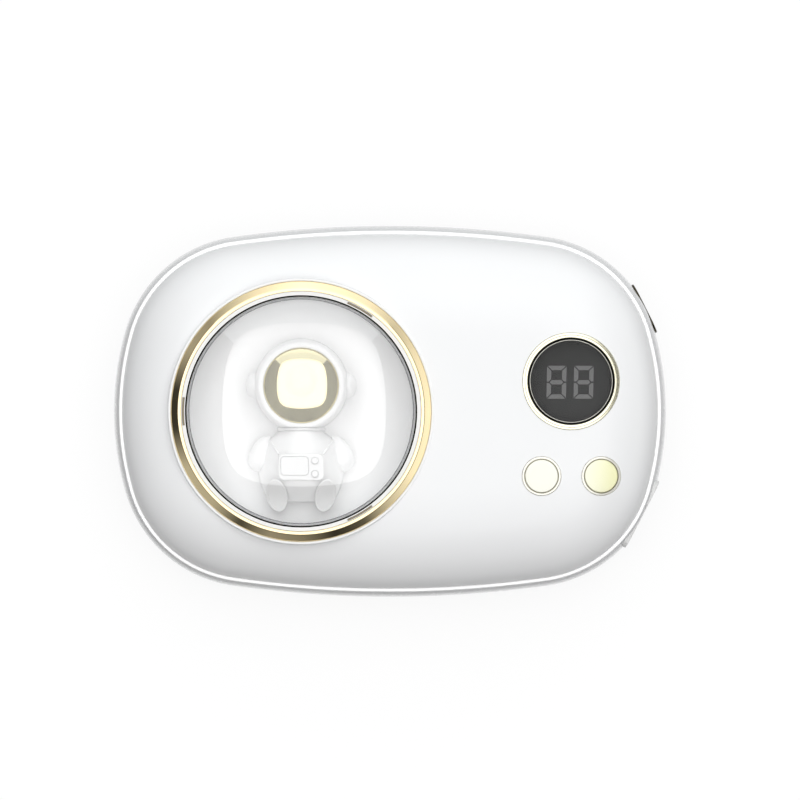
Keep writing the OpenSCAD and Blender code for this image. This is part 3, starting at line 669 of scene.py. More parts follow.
def cells(tree, size):
    """How far a point lies from the middle of the cell that it is in."""
    inputs = {"Vector": place_of(tree), "Scale": 1 / (size * MM)}
    return add_node(tree, "TexVoronoi", inputs).outputs["Distance"]


def ranged(tree, value, low, high, start=0.3, end=0.7):
    """Maps the middle of a field's values onto a range."""
    inputs = {"Value": value, "From Min": start, "From Max": end, "To Min": low, "To Max": high}
    return add_node(tree, "MapRange", inputs).outputs["Result"]


def blended(tree, factor, first, second):
    """A colour between two colours or colour sockets."""
    first_colour, second_colour, result = 6, 7, 2
    inputs = {"Factor": factor, first_colour: first, second_colour: second}
    return add_node(tree, "Mix", inputs, data_type="RGBA").outputs[result]


def bumped(tree, height, depth, strength=1.0):
    """Normals that follow a height field, with a depth in millimetres."""
    inputs = {"Height": height, "Distance": depth * MM, "Strength": strength}
    return add_node(tree, "Bump", inputs).outputs["Normal"]


def darker(colour, share):
    return tuple(channel * share for channel in colour)


def patchy(tree, colour, size, share):
    """A colour with patches that are darker by a share."""
    return blended(tree, ranged(tree, noise(tree, size), 0, 1), darker(colour, share), colour)


def mixed(tree, share, first, second):
    """A shader between two shaders."""
    inputs = {"Fac": share, 1: first.outputs[0], 2: second.outputs[0]}
    return add_node(tree, "MixShader", inputs)


def surface(name, colour, rough, metal=0.0, patch_size=12.0, patch_share=0.97, grain_size=0.25,
            grain_depth=0.002, rough_spread=0.04, ior=1.5, stretch=None, glow=0.0, side_shade_share=1.0,
            mirror_from=None):
    """A moulded, painted or metal surface: colour patches, roughness patches and a fine grain.

    A share under 1 for the sides darkens the paint on upright sides: painted shade, which draws
    outlines round raised parts. A glow over 0 gives the surface light of its own colour: painted
    light, as no part that uses it is a lamp. A pair of values in mirror_from makes the surface
    mirror more of its surroundings where it is seen at a low angle.
    """
    material, tree, shader = tree_of(name)
    grain = noise(tree, grain_size, stretch)
    tint = patchy(tree, colour, patch_size, patch_share)
    # Painted shade: darker paint on upright sides, which draws outlines
    if side_shade_share < 1:
        upright = ranged(tree, parts_of(tree, "Normal")["Z"], 1, 0, 0.05, 0.28)
        tint = blended(tree, upright, tint, darker(colour, side_shade_share))
    if mirror_from:
        metal = ranged(tree, add_node(tree, "LayerWeight").outputs["Facing"], 0, 1, *mirror_from)
    feed(tree, shader, {
        "Base Color": tint,
        "Roughness": ranged(tree, grain, rough - rough_spread, rough + rough_spread),
        "Metallic": metal,
        "IOR": ior,
        # A glow over 0 is painted light: the surface gives light though it is no lamp
        "Emission Color": colour,
        "Emission Strength": glow,
        "Normal": bumped(tree, grain, grain_depth),
    })
    return material


def clear_glass(name, tint, ior):
    """Clear plastic that mirrors by angle, shows what is behind it, and lets light through."""
    haze_size = 9
    rough = 0.02
    material, tree = bare_tree_of(name)
    see = add_node(tree, "BsdfTransparent", {"Color": tint})
    haze = ranged(tree, noise(tree, haze_size), rough * 0.7, rough * 1.3)
    mirror = add_node(tree, "BsdfGlossy", {"Color": (1, 1, 1), "Roughness": haze})
    # The Fresnel node turns the index over on a back face, so that it is turned over there first
    behind = add_node(tree, "NewGeometry").outputs["Backfacing"]
    index = ranged(tree, behind, ior, 1 / ior, 0, 1)
    mirrored = add_node(tree, "Fresnel", {"IOR": index}).outputs[0]
    path = add_node(tree, "LightPath").outputs
    direct = maths(tree, "SUBTRACT", 1, most(tree, path["Is Shadow Ray"], path["Is Diffuse Ray"]))
    glass = mixed(tree, maths(tree, "MULTIPLY", mirrored, direct), see, mirror)
    add_node(tree, "OutputMaterial", {"Surface": glass.outputs[0]})
    return material


def board_material(name, colour):
    """Solder mask over copper tracks, with tinned pads."""
    track_size = 6
    track_gap = 0.03
    pad_spacing = 3
    grain_size = 1 / 0.9
    tin = (0.75, 0.74, 0.7)
    material, tree, shader = tree_of(name)
    tracks = add_node(tree, "TexBrick", {
        "Vector": place_of(tree),
        "Scale": 1 / (track_size * MM),
        "Mortar Size": track_gap,
        "Color1": colour,
        "Color2": darker(colour, 0.85),
        "Mortar": [min(1, channel * 1.9) for channel in colour],
    })
    pad = ranged(tree, cells(tree, pad_spacing), 1, 0, 0.13, 0.16)
    feed(tree, shader, {
        "Base Color": blended(tree, pad, tracks.outputs["Color"], tin),
        "Metallic": pad,
        "Roughness": ranged(tree, noise(tree, grain_size), 0.28, 0.4),
        "Normal": bumped(tree, tracks.outputs["Fac"], 0.03, 0.5),
    })
    return material


def foam_material(name, colour):
    """Open foam with dark cells."""
    cell_size = 0.45
    material, tree, shader = tree_of(name)
    hollow = ranged(tree, cells(tree, cell_size), 0, 1, 0.1, 0.6)
    feed(tree, shader, {
        "Base Color": blended(tree, hollow, darker(colour, 0.35), colour),
        "Roughness": 0.95,
        "Normal": bumped(tree, hollow, 0.1),
    })
    return material


def film_material(name, colour):
    """Amber film over a winding heater track."""
    track_size = 7
    grain_size = 1 / 1.2
    material, tree, shader = tree_of(name)
    waves = {"Vector": place_of(tree), "Scale": 1 / (track_size * MM), "Distortion": 0}
    track = ranged(tree, add_node(tree, "TexWave", waves).outputs["Fac"], 0, 1, 0.45, 0.55)
    feed(tree, shader, {
        "Base Color": blended(tree, track, colour, darker(colour, 0.45)),
        "Roughness": ranged(tree, noise(tree, grain_size), 0.22, 0.34),
        "Normal": bumped(tree, track, 0.03),
    })
    return material


def outward(tree, start, end):
    """Runs from 0 to 1 between two distances from the porthole's axis."""
    axis = (port[0] * MM, 0, dish_floor * MM)
    shifted = add_node(tree, "VectorMath", {0: place_of(tree), 1: axis}, operation="SUBTRACT")
    level = add_node(tree, "VectorMath", {0: shifted.outputs[0], 1: (1, 1, 0)}, operation="MULTIPLY")
    reach = add_node(tree, "VectorMath", {0: level.outputs[0]}, operation="LENGTH")
    return ranged(tree, reach.outputs["Value"], 0, 1, start * MM, end * MM)


def gasket_material(name, lip, band):
    """Soft rubber, painted dark along its inner edge: painted shade, as a groove there would cast."""
    grain_size = 0.15
    shade_end = gasket_inner + 0.2
    material, tree, shader = tree_of(name)
    grain = noise(tree, grain_size)
    feed(tree, shader, {
        # Painted shade: the inner edge is dark, as in a groove
        "Base Color": blended(tree, outward(tree, shade_end - 0.02, shade_end), lip, band),
        "Roughness": ranged(tree, grain, 0.56, 0.64),
        "Normal": bumped(tree, grain, 0.01),
    })
    return material


def dish_material(name, middle, edge):
    """Satin paint, greyer in the middle behind the figure and paler towards the wall, with a glow that is
    strongest in the middle: painted light, which evens out the shade in the deep dish and lifts the figure's
    shadow on it.
    """
    near, far = 11, 19
    middle_painted_glow, edge_painted_glow = 0.23, 0.07
    patch_size, patch_share = 6, 0.985
    grain_size = 0.3
    material, tree, shader = tree_of(name)
    share = outward(tree, near, far)
    grain = noise(tree, grain_size)
    feed(tree, shader, {
        "Base Color": blended(tree, share, patchy(tree, middle, patch_size, patch_share), edge),
        "Roughness": ranged(tree, grain, 0.41, 0.49),
        # The glow is painted light: the dish is no lamp
        "Emission Color": (1, 1, 1),
        "Emission Strength": ranged(tree, share, middle_painted_glow, edge_painted_glow, 0, 1),
        "Normal": bumped(tree, grain, 0.002),
    })
    return material


def pearl_material(name, pale, deep):
    """Pearly paint that turns from pale to deep towards the right end of the body, with a faint glow of its
    colour: painted light, as the caps are no lamps.
    """
    start, end = light_at[0] * 0.88 * MM, light_at[0] * 1.1 * MM
    patch_size, patch_share = 3, 0.98
    grain_size = 0.15
    material, tree, shader = tree_of(name)
    share = ranged(tree, parts_of(tree, "Object")["X"], 0, 1, start, end)
    grain = noise(tree, grain_size)
    paint = blended(tree, share, patchy(tree, pale, patch_size, patch_share), deep)
    feed(tree, shader, {
        "Base Color": paint,
        "Roughness": ranged(tree, grain, 0.15, 0.25),
        # A faint glow: painted light
        "Emission Color": paint,
        "Emission Strength": 0.05,
        "Normal": bumped(tree, grain, 0.0006),
    })
    return material


moulded = dict(patch_size=40, patch_share=0.985, grain_size=0.6, grain_depth=0.0006, rough_spread=0.03,
               ior=1.35)
plated = dict(metal=1, patch_size=6, grain_size=0.2, grain_depth=0.0004, rough_spread=0.03)
surfaces = {
    "white_shell": dict(colour=(0.953, 0.957, 0.962), rough=0.2, **moulded),
    # The back shell's white is painted darker than the front's: painted shade, which shows as the grey rim
    # round the front
    "white_back": dict(colour=(0.8, 0.805, 0.81), rough=0.25, mirror_from=(0.68, 0.9), **moulded),
    "white_frame": dict(colour=(0.97, 0.97, 0.97), rough=0.15, metal=0.35, patch_share=0.99,
                        grain_size=0.3, grain_depth=0.0006),
    "white_ring": dict(colour=(0.93, 0.92, 0.9), rough=0.22, grain_size=0.3, grain_depth=0.001),
    "gold_trim": dict(colour=(0.98, 0.825, 0.51), rough=0.09, **plated),
    "cream_gold": dict(colour=(0.98, 0.94, 0.72), rough=0.28, **plated),
    # A dark tan for fine lines on the gold rings: painted shade of a groove and of gaps
    "ring_tan": dict(colour=(0.3, 0.28, 0.2), rough=0.4, metal=0.5, patch_size=3, grain_size=0.15),
    "pale_gold": dict(colour=(0.96, 0.94, 0.85), rough=0.22, metal=0.3, patch_size=5,
                      grain_size=0.2, grain_depth=0.0005),
    "dark_bronze": dict(colour=(0.05, 0.043, 0.027), rough=0.3, metal=1, patch_size=3, grain_size=0.2),
    # The clips' gold is darkened: painted shade, on top of the real shade of the seats they sit in
    "clip_gold": dict(colour=(0.2, 0.17, 0.125), rough=0.3, metal=0.9, patch_size=2,
                      grain_size=0.15, grain_depth=0.004),
    # Black for the lip round the dome: painted shade of the gap
    "seal_black": dict(colour=(0.006, 0.006, 0.004), rough=0.6, grain_size=0.2, ior=1.1),
    # The figure's white is darker on upright sides (painted shade, drawing its outlines) and glows a little
    # (painted light)
    "figure_white": dict(colour=(0.85, 0.85, 0.85), rough=0.3, patch_size=6, patch_share=0.985,
                         grain_size=0.2, grain_depth=0.001, glow=0.07, side_shade_share=0.58),
    "visor_gold": dict(colour=(0.93, 0.84, 0.52), rough=0.05, metal=1, patch_size=8, patch_share=0.99,
                       grain_size=0.3, grain_depth=0.0002, rough_spread=0.02),
    "display_black": dict(colour=(0.004, 0.004, 0.003), rough=0.5, grain_size=0.15, ior=1.2),
    "display_face": dict(colour=(0.11, 0.11, 0.11), rough=0.5, patch_size=5, grain_size=0.15, ior=1.2),
    "digit_grey": dict(colour=(0.4, 0.4, 0.4), rough=0.5, patch_size=2, grain_size=0.12),
    "switch_black": dict(colour=(0.03, 0.03, 0.03), rough=0.45, grain_depth=0.006),
    "socket_steel": dict(colour=(0.72, 0.72, 0.73), rough=0.28, metal=1, grain_size=0.1,
                         stretch=(0.05, 1, 1)),
    "tongue_black": dict(colour=(0.025, 0.025, 0.027), rough=0.4, grain_depth=0.005),
    "contact_gold": dict(colour=(0.9, 0.68, 0.3), rough=0.18, metal=1, patch_size=2),
    "socket_trim_white": dict(colour=(0.8, 0.8, 0.79), rough=0.25, grain_size=0.2),
    "screw_steel": dict(colour=(0.5, 0.5, 0.52), rough=0.32, metal=1, grain_size=0.1, grain_depth=0.006),
    "component_black": dict(colour=(0.02, 0.02, 0.02), rough=0.55, grain_size=0.1, grain_depth=0.01),
    "component_can": dict(colour=(0.68, 0.69, 0.7), rough=0.3, metal=1, grain_size=0.2),
    "ribbon_amber": dict(colour=(0.55, 0.24, 0.04), rough=0.3, grain_size=0.3, stretch=(1, 8, 1)),
    "cell_pouch": dict(colour=(0.42, 0.5, 0.6), rough=0.35, metal=0.6, patch_size=10, grain_size=1.5,
                       grain_depth=0.05),
    "lead_red": dict(colour=(0.6, 0.03, 0.02), rough=0.5, grain_size=0.2, grain_depth=0.01),
    "lead_black": dict(colour=(0.02, 0.02, 0.02), rough=0.5, grain_size=0.2, grain_depth=0.01),
    "spreader_metal": dict(colour=(0.7, 0.71, 0.72), rough=0.38, metal=1, grain_size=0.2,
                           grain_depth=0.004, stretch=(0.04, 1, 1)),
    "led_yellow": dict(colour=(0.85, 0.72, 0.2), rough=0.35, patch_size=1.5, grain_size=0.1),
}
special = {
    "clear_dome": (clear_glass, (0.995, 0.995, 0.995), 1.7),
    "smoked_window": (clear_glass, (0.8, 0.8, 0.8), 1.2),
    # The gasket's dark first colour is painted shade along its inner edge
    "gasket_grey": (gasket_material, (0.16, 0.16, 0.17), (0.6, 0.61, 0.63)),
    # The dish's grey middle, pale edge and glow are painted light that evens out its shade
    "dish_grey": (dish_material, (0.64, 0.64, 0.64), (0.95, 0.95, 0.95)),
    # The caps also glow faintly: painted light
    "cap_cream": (pearl_material, (0.985, 0.98, 0.87), (0.99, 0.98, 0.55)),
    "board_green": (board_material, (0.02, 0.12, 0.05)),
    "board_white": (board_material, (0.72, 0.72, 0.7)),
    "foam_grey": (foam_material, (0.22, 0.22, 0.23)),
    "film_amber": (film_material, (0.62, 0.28, 0.05)),
}
materials = {name: surface(name, **values) for name, values in surfaces.items()}
for name, (made_by, *values) in special.items():
    materials[name] = made_by(name, *values)

# Every node of the model takes its slot's material
for subpart in frame["record"]["subparts"]:
    node = frame["nodes"][subpart["node"]]
    node.data.materials.clear()
    node.data.materials.append(materials[subpart["material_slot"]])


# Front shell: a domed cover, open at the porthole, display and buttons
def front_skin(shape, sunk, patch_inset):
    """Rows of one skin of the front shell, from above its foot to the edge of its patch."""
    steps = 44
    insets = []
    for step in range(1, steps):
        insets.append(front_inset + sunk + (front_round - sunk) * edge_share(step, steps))
    insets = [inset for inset in insets if inset < patch_inset] + [patch_inset]
    return [shape.rim_row(inset, front_height(inset, sunk)) for inset in insets]


def porthole_rows(shape, soft):
    """Rows of the porthole's lip, from the fillet at its foot, over the lip, to the inner skin."""
    fillet = 0.3
    least = 0.02
    segments = 256

    def fillet_at(angle):
        """The fillet's size, less than the lip's height over the surface."""
        foot = front_at(*around(port, lip_radius, angle))
        return min(max((lip_z - soft - foot) * 0.9, least), fillet)

    def foot_radius(angle):
        return lip_radius + fillet_at(angle)

    rows = [circle_row(port, foot_radius, front_at, segments)]
    for along_share, up_share in bend(3)[1:]:
        ring = []
        for angle in spread(0, TAU, segments):
            size = fillet_at(angle)
            foot = front_at(*around(port, lip_radius + size, angle))
            reach = lip_radius + size * (1 - along_share)
            ring.append((*around(port, reach, angle), foot + size * up_share))
        rows.append(ring)
    lip = rounded([
        (lip_radius, lip_z - 2 * soft, 0),
        (lip_radius, lip_z, soft),
        (port_radius + fit_gap, lip_z, soft),
        (port_radius + fit_gap, ring_z, 0),
        (skirt_radius + fit_gap, ring_z, 0),
        (skirt_radius + fit_gap, collar_z, 0),
        (lip_radius, collar_z, 0),
    ], 4)
    rows += [circle_row(port, radius, z, segments) for radius, z in lip[1:]]
    rows.append(circle_row(port, foot_radius, front_inside_at, segments))
    return [shape.row(row) for row in rows]


def front_shell():
    patch_inset = 6.5
    grid_spacing = 1.3
    soft = 0.12
    shape = Shape()
    outer = [shape.rim_row(front_inset + soft, front_z), shape.rim_row(front_inset, front_z + soft)]
    outer += front_skin(shape, 0, patch_inset)
    inner = [shape.rim_row(front_inset + wall, front_z)] + front_skin(shape, wall, patch_inset)
    shape.stack(outer)
    shape.stack(inner)
    shape.bridge(outer[0], inner[0])
    holes = []
    for centre, bore, segments in (
        (display, display_radius + fit_gap, 128),
        (heat_at, bezel_radius + fit_gap, 72),
        (light_at, bezel_radius + fit_gap, 72),
    ):
        stations = [(bore + soft, front_at), (bore + soft * 0.3, lifted(-soft * 0.3)), (bore, lifted(-soft)),
                    (bore, front_inside_at), (bore + soft, front_inside_at)]
        rows = [shape.row(circle_row(centre, radius, height, segments)) for radius, height in stations]
        shape.stack(rows)
        holes.append([rows[0], rows[-1]])
    rows = porthole_rows(shape, soft)
    shape.stack(rows)
    holes.append([rows[0], rows[-1]])
    patch(shape, [outer[-1], inner[-1]], holes, grid_spacing, [front_at, front_inside_at])
    return shape


def front_normal(x, y, z):
    """The true normal of the front's surface, or None off it."""
    near = 0.004
    step = 0.02
    steep_inset = front_inset + 0.4
    if inset_at(x, y) < steep_inset or abs(z - front_at(x, y)) > near:
        return None
    slope_x = (front_at(x + step, y) - front_at(x - step, y)) / (2 * step)
    slope_y = (front_at(x, y + step) - front_at(x, y - step)) / (2 * step)
    return Vector((-slope_x, -slope_y, 1)).normalized()


make_piece("front_cover", front_shell(), "white_shell", "front_shell",
           normals=front_normal, degrees=40)


# Back shell: a dish with a flat to rest on and two socket windows
def back_profile(inset, steps):
    """Inset and height of one skin of the back shell, from its top edge to the edge of its flat."""
    profile = []
    shoulder_steps = 6
    for i in range(shoulder_steps):
        share = 1 - i / shoulder_steps
        z = bulge_height + (back_height - bulge_height) * share
        profile.append((inset + shoulder_inset * share ** 2, z))
    for i in range(steps + 1):
        z = inset + (bulge_height - inset) * (1 - rise_share(i, steps))
        profile.append((inset + (foot_round - inset) * edge_share(i, steps), z))
    return profile


def back_shell():
    lip = 0.15
    shape = Shape()
    outer = back_profile(0, 26)
    outer[0] = (shoulder_inset - lip * 0.4, back_height - lip)
    outer = [shape.rim_row(inset, z) for inset, z in outer]
    inner = [shape.rim_row(inset, z) for inset, z in back_profile(wall, 14)]
    top = shape.rim_row(shoulder_inset + lip, back_height)
    shape.stack([inner[0], top] + outer)
    shape.stack(inner)
    shape.bridge(outer[-1], shape.row([(0, 0, 0)]))
    shape.bridge(inner[-1], shape.row([(0, 0, wall)]))
    return shape


def back_inset(z):
    """How far in from the outline the back shell's outer surface lies at a height."""
    if z >= bulge_height:
        return shoulder_inset * ((z - bulge_height) / (back_height - bulge_height)) ** 2
    rise = min(1 - z / bulge_height, 1)
    return foot_round * (1 - (1 - rise ** round_power) ** (1 / round_power))


def back_normal(x, y, z):
    """The true normal of the back shell's outer wall, or None off it."""
    near = 0.02
    lowest = 0.3
    if z < lowest or z > back_height - seam_gap or abs(inset_at(x, y) - back_inset(z)) > near:
        return None
    folded = Vector((abs(x), abs(y)))
    facing = (folded - arc_facing(*folded)[0]).normalized()
    step = 0.01
    slope = (back_inset(z + step) - back_inset(z - step)) / (2 * step)
    return Vector((copysign(facing.x, x), copysign(facing.y, y), slope)).normalized()


def at_socket(turn, z):
    """A rule that puts a point (sideways, up, out) at a socket."""
    at_x, at_y = rim(turn)
    way_x, way_y = cos(turn), sin(turn)

    def placed(side, up, out):
        return at_x + way_x * out - way_y * side, at_y + way_y * out + way_x * side, z + up

    return placed


def trim_face(width):
    """How far out the ends of a socket's trim lie."""
    return trim_proud - corner_radius + sqrt(corner_radius ** 2 - (width / 2 + trim_frame) ** 2)


def socket_window(size, corner):
    """A block that cuts the room for a socket's trim."""
    reach = 3
    grown = trim_frame + fit_gap
    face = trim_face(size[0])
    stations = [(face - trim_depth - reach, grown), (face + reach, grown)]
    return Shape().solid(block_rows(*size, corner, stations))


c_rule = at_socket(usb_c_turn, usb_c_z)
a_rule = at_socket(usb_a_turn, usb_a_z)
# Its white is painted darker than the front's: painted shade on the rim
back = make_piece("back_cover", back_shell(), "white_back", "back_shell")
cut(back, socket_window(usb_c_size, usb_c_corner).moved(c_rule))
cut(back, socket_window(usb_a_size, usb_a_corner).moved(a_rule))
smooth_angle(back.data, 40)
set_normals(back.data, back_normal)


# Middle frame: the band between the shells, its tongue and its plate
def middle_frame():
    tongue_inset = front_inset + wall + tongue_gap
    tongue_inside = tongue_inset + tongue_width
    tongue_top = front_z + tongue_height
    band = rounded([
        (shoulder_inset, back_height, 0.05), (shoulder_inset, front_z, 0.2), (tongue_inset, front_z, 0),
        (tongue_inset, tongue_top, 0.2), (tongue_inside, tongue_top, 0.2), (tongue_inside, back_height, 0),
    ], 6)
    grid_spacing = 6
    plate_inset = shoulder_inset + wall + seam_gap
    plate_z = back_height - plate_height
    shape = Shape()
    shape.stack([shape.rim_row(inset, z) for inset, z in band], loop=True)
    plate = [shape.rim_row(plate_inset, z) for z in (plate_z, back_height)]
    shape.bridge(*plate)
    patch(shape, plate, [], grid_spacing, [lambda x, y: plate_z, lambda x, y: back_height])
    return shape


make_piece("white_band", middle_frame(), "white_frame", "middle_frame")


# Porthole: gold ring, white ring, clips, seal, dome, gasket and dish
def sloped(stations, top):
    """Turns stations of radius and slope in degrees, outside first, into a profile that ends at top."""
    substeps = 4
    points = [(stations[-1][0], top)]
    for (outer, outer_slope), (inner, inner_slope) in reversed(list(zip(stations, stations[1:]))):
        reach = (outer - inner) / substeps
        for k in range(substeps):
            slope = inner_slope + (outer_slope - inner_slope) * (k + 0.5) / substeps
            radius, z = points[-1]
            points.append((radius + reach, z - reach * tan(radians(slope))))
    return points


def porthole_ring():
    stations = [
        (port_radius - 0.02, 40), (port_radius - 0.5, 39), (port_radius - 1.28, 38),
        (port_radius - 1.38, 28), (port_radius - 1.46, 6), (retainer_radius + 0.35, 1),
        (retainer_radius + 0.2, -4), (retainer_radius + 0.12, -10),
    ]
    bore = retainer_radius + fit_gap
    slope = sloped(stations, ring_top)
    profile = [(bore, collar_z), (bore, ring_top - 0.12), (bore + 0.02, ring_top - 0.05)]
    profile += slope
    profile += [(port_radius, slope[-1][1] - 0.04), (port_radius, ring_z), (skirt_radius, ring_z)]
    profile += [(skirt_radius, collar_z)]
    return lathe(profile, port, 320)


def dome_ring():
    """The white ring round the dome, with a seat sunk in its top for each clip and one for the black lip that
    paints the gap's shade.
    """
    seat_depth = 0.3
    soft = 0.08
    gap = 0.01
    side_gap = 0.005
    edge = 0.0008
    angles = spread(0, TAU, 240)
    for turn in clip_turns:
        for side in (-1, 1):
            angles += [(turn + side * (clip_half_turn + more)) % TAU for more in (-edge, edge)]
    shape = Shape()
    rows = []
    for angle in sorted(set(angles)):
        at_clip = any(abs((angle - turn + pi) % TAU - pi) < clip_half_turn for turn in clip_turns)
        seat_z = retainer_top - seat_depth if at_clip else retainer_top
        profile = [
            (dome_radius + fit_gap, retainer_z), (dome_radius + fit_gap, retainer_top - shade_lip_depth),
            (shade_lip_outer + gap, retainer_top - shade_lip_depth), (shade_lip_outer + gap, retainer_top),
            (clip_inner, retainer_top), (clip_inner + side_gap, seat_z),
            (clip_outer - side_gap, seat_z), (clip_outer, retainer_top),
            (retainer_radius - soft, retainer_top), (retainer_radius - soft * 0.3, retainer_top - soft * 0.3),
            (retainer_radius, retainer_top - soft), (retainer_radius, retainer_z),
        ]
        rows.append(shape.row([(*around(port, radius, angle), z) for radius, z in profile]))
    shape.stack(rows, loop=True)
    return shape


def dome_shade_lip():
    """A black lip between the dome and the white ring: painted shade, which stands for the shadow in the gap
    between them.
    """
    top = retainer_top - 0.02
    bottom = retainer_top - shade_lip_depth + 0.01
    inner = dome_radius - shade_lip_overlap
    crest = inner + (shade_lip_outer - inner) * 0.55
    profile = [(inner, bottom), (inner, top - 0.08), (inner + 0.03, top - 0.03), (crest, top),
               (shade_lip_outer - 0.03, top - 0.02), (shade_lip_outer, top - 0.06), (shade_lip_outer, bottom)]
    return lathe(profile, port, 256)


def dome_clips():
    """Three curved clips, each with a softened top edge."""
    gap = 0.02
    soft = 0.05
    top = retainer_top - 0.12
    bottom = top - 0.16
    inner, outer = clip_inner + gap, clip_outer - gap
    section = [(inner, bottom), (inner, top - soft), (inner + soft, top), (outer - soft, top),
               (outer, top - soft), (outer, bottom)]
    steps = 16
    half = clip_half_turn - 0.004
    shape = Shape()
    for turn in clip_turns:
        angles = [turn + half * (2 * i / steps - 1) for i in range(steps + 1)]
        shape.solid([[(*around(port, radius, angle), z) for radius, z in section] for angle in angles])
    return shape


def sphere_profile(sphere, radius, top, steps, first=0.0):
    """The profile of a part of a sphere, from its edge up to its last step before the middle."""
    edge = asin(radius / sphere)
    angles = [edge * (1 - (i + first) / steps) for i in range(steps)]
    return [(sphere * sin(angle), top - sphere + sphere * cos(angle)) for angle in angles]


def dome_lens():
    """A clear dome whose wall shows as a thin band round its edge."""
    steps = 40
    shown_wall = 0.6
    shoulder = 0.15
    foot = dome_flange_z + 0.03
    inner_radius = dome_radius - shown_wall
    outer_radius = dome_radius - shade_lip_overlap - 0.01
    outside = sphere_profile(dome_sphere, outer_radius - shoulder, dome_top, steps)
    inside = sphere_profile(dome_sphere - shown_wall, inner_radius, dome_top - shown_wall, steps)
    low_z = dome_base - 0.1
    edge_height = outside[0][1] - low_z
    profile = [(inner_radius, foot), (retainer_radius, foot), (retainer_radius, retainer_z),
               (outer_radius, retainer_z)]
    for up_share, in_share in bend(6)[:-1]:
        profile.append((outer_radius - shoulder * in_share, low_z + edge_height * up_share))
    profile += outside + [(0, dome_top), (0, dome_top - shown_wall)] + inside[::-1]
    return lathe(profile, port)


def dome_gasket():
    """A flat ring under the dome's flange."""
    soft = 0.04
    outer = dome_radius - 0.1
    return lathe(ring_section(gasket_inner, outer, gasket_z + 0.01, dome_flange_z, (soft, soft)), port)


def backdrop_dish():
    """The dish behind the figure: a floor, a round cove and a wall."""
    cove = 7
    flange = lip_radius - 0.5
    profile = [(0, dish_floor)]
    for out_share, up_share in bend(10):
        profile.append((dish_inner - cove + cove * out_share, dish_floor + cove * up_share))
    profile += [(dish_inner, gasket_z), (retainer_radius, gasket_z), (retainer_radius, collar_z)]
    profile += [(flange, collar_z), (flange, collar_z - dish_flange_height)]
    profile += [(retainer_radius, collar_z - dish_flange_height), (retainer_radius, dish_z), (0, dish_z)]
    return lathe(profile, port, 160, loop=False)


make_piece("porthole_ring", porthole_ring(), "gold_trim", "porthole_bezel")
make_piece("dome_ring", dome_ring(), "white_ring", "dome_retainer", degrees=50)
make_piece("ring_clips", dome_clips(), "clip_gold", "dome_clips")
# Painted shade: a black lip for the shadow of the gap round the dome
make_piece("seal_lip", dome_shade_lip(), "seal_black")
make_piece("soft_gasket", dome_gasket(), "gasket_grey", "dome_gasket")
make_piece("clear_lens", dome_lens(), "clear_dome", "dome_lens")
make_piece("figure_dish", backdrop_dish(), "dish_grey", "backdrop_dish")


# Figure: a seated space traveller in relief, with a plain visor
def at_figure(x, y, z):
    return port[0] + x, y, z


def cut_level(shape, plane_y):
    """Cuts a shape at a plane across Y and closes it, keeping what lies above the plane."""
    work = bmesh.new()
    corners = [work.verts.new(point) for point in shape.points]
    for face in shape.faces:
        work.faces.new([corners[i] for i in face])
    geometry = work.verts[:] + work.edges[:] + work.faces[:]
    cuts = bmesh.ops.bisect_plane(work, geom=geometry, plane_co=(0, plane_y, 0), plane_no=(0, -1, 0),
                                  clear_outer=True)
    edges = [item for item in cuts["geom_cut"] if isinstance(item, bmesh.types.BMEdge)]
    bmesh.ops.holes_fill(work, edges=edges)
    work.verts.index_update()
    made = Shape()
    made.points = [tuple(vertex.co) for vertex in work.verts]
    made.faces = [tuple(vertex.index for vertex in face.verts) for face in work.faces]
    work.free()
    return made


def helmet():
    """A round helmet whose face runs level round the visor's seat."""
    rim_z = visor_seat_z + visor_edge + 0.22
    rim_round = 0.2
    bore = visor_radius + fit_gap
    flat_edge = bore + 0.75
    steps = 36
    power = 2.1
    low = 0.24
    profile = [(0, dish_floor), (helmet_radius * 0.93, dish_floor), (helmet_radius, helmet_z)]
    for i in range(1, steps + 1):
        share = sin(low + (RIGHT - low) * i / steps)
        reach = (1 - share ** power) ** (1 / power) if share < 1 else 0
        radius = flat_edge + (helmet_radius - flat_edge) * reach
        profile.append((radius, helmet_z + (rim_z - helmet_z) * share))
    for degrees in (0, 25, 50, 70, 90):
        turn = radians(degrees)
        profile.append((bore + rim_round * (1 - sin(turn)), rim_z - rim_round * (1 - cos(turn))))
    profile += [(bore, visor_seat_z), (0, visor_seat_z)]
    return cut_level(lathe(profile, (0, helmet_up), 128, loop=False), neck_y)


def ear_pods():
    """A domed boss on each side of the helmet."""
    pod_radius = 2.6
    proud = 1.6
    sunk = 0.6
    base = helmet_radius - sunk
    profile = [(0, base - 1), (pod_radius, base - 1)]
    for angle in spread(0, RIGHT, 10):
        profile.append((pod_radius * cos(angle) ** 0.8, base + (proud + sunk) * sin(angle)))
    profile.append((0, helmet_radius + proud))
    shape = Shape()
    for side in (-1, 1):
        pod = lathe(profile, (0, 0), 48, loop=False)
        shape.joined(pod.moved(lambda x, y, z: (side * z, helmet_up + y, helmet_z + x)))
    return shape


def visor():
    steps = 24
    rise = 2
    sphere = (visor_radius ** 2 + rise ** 2) / (2 * rise)
    base = visor_seat_z + fit_gap
    edge_z = base + visor_edge
    profile = [(0, base), (visor_radius, base), (visor_radius, edge_z - 0.1)]
    profile += sphere_profile(sphere, visor_radius, edge_z + rise, steps, 0.5)
    profile.append((0, edge_z + rise))
    return lathe(profile, (0, helmet_up), 128, loop=False).moved(at_figure)


def torso_share(y):
    """How far down the torso a place lies."""
    return min(max((torso_top - y) / torso_length, 0), 1)


def torso_radius(y):
    return belly_radius * smooth_curve(torso_place_shares, torso_width_shares, torso_share(y))


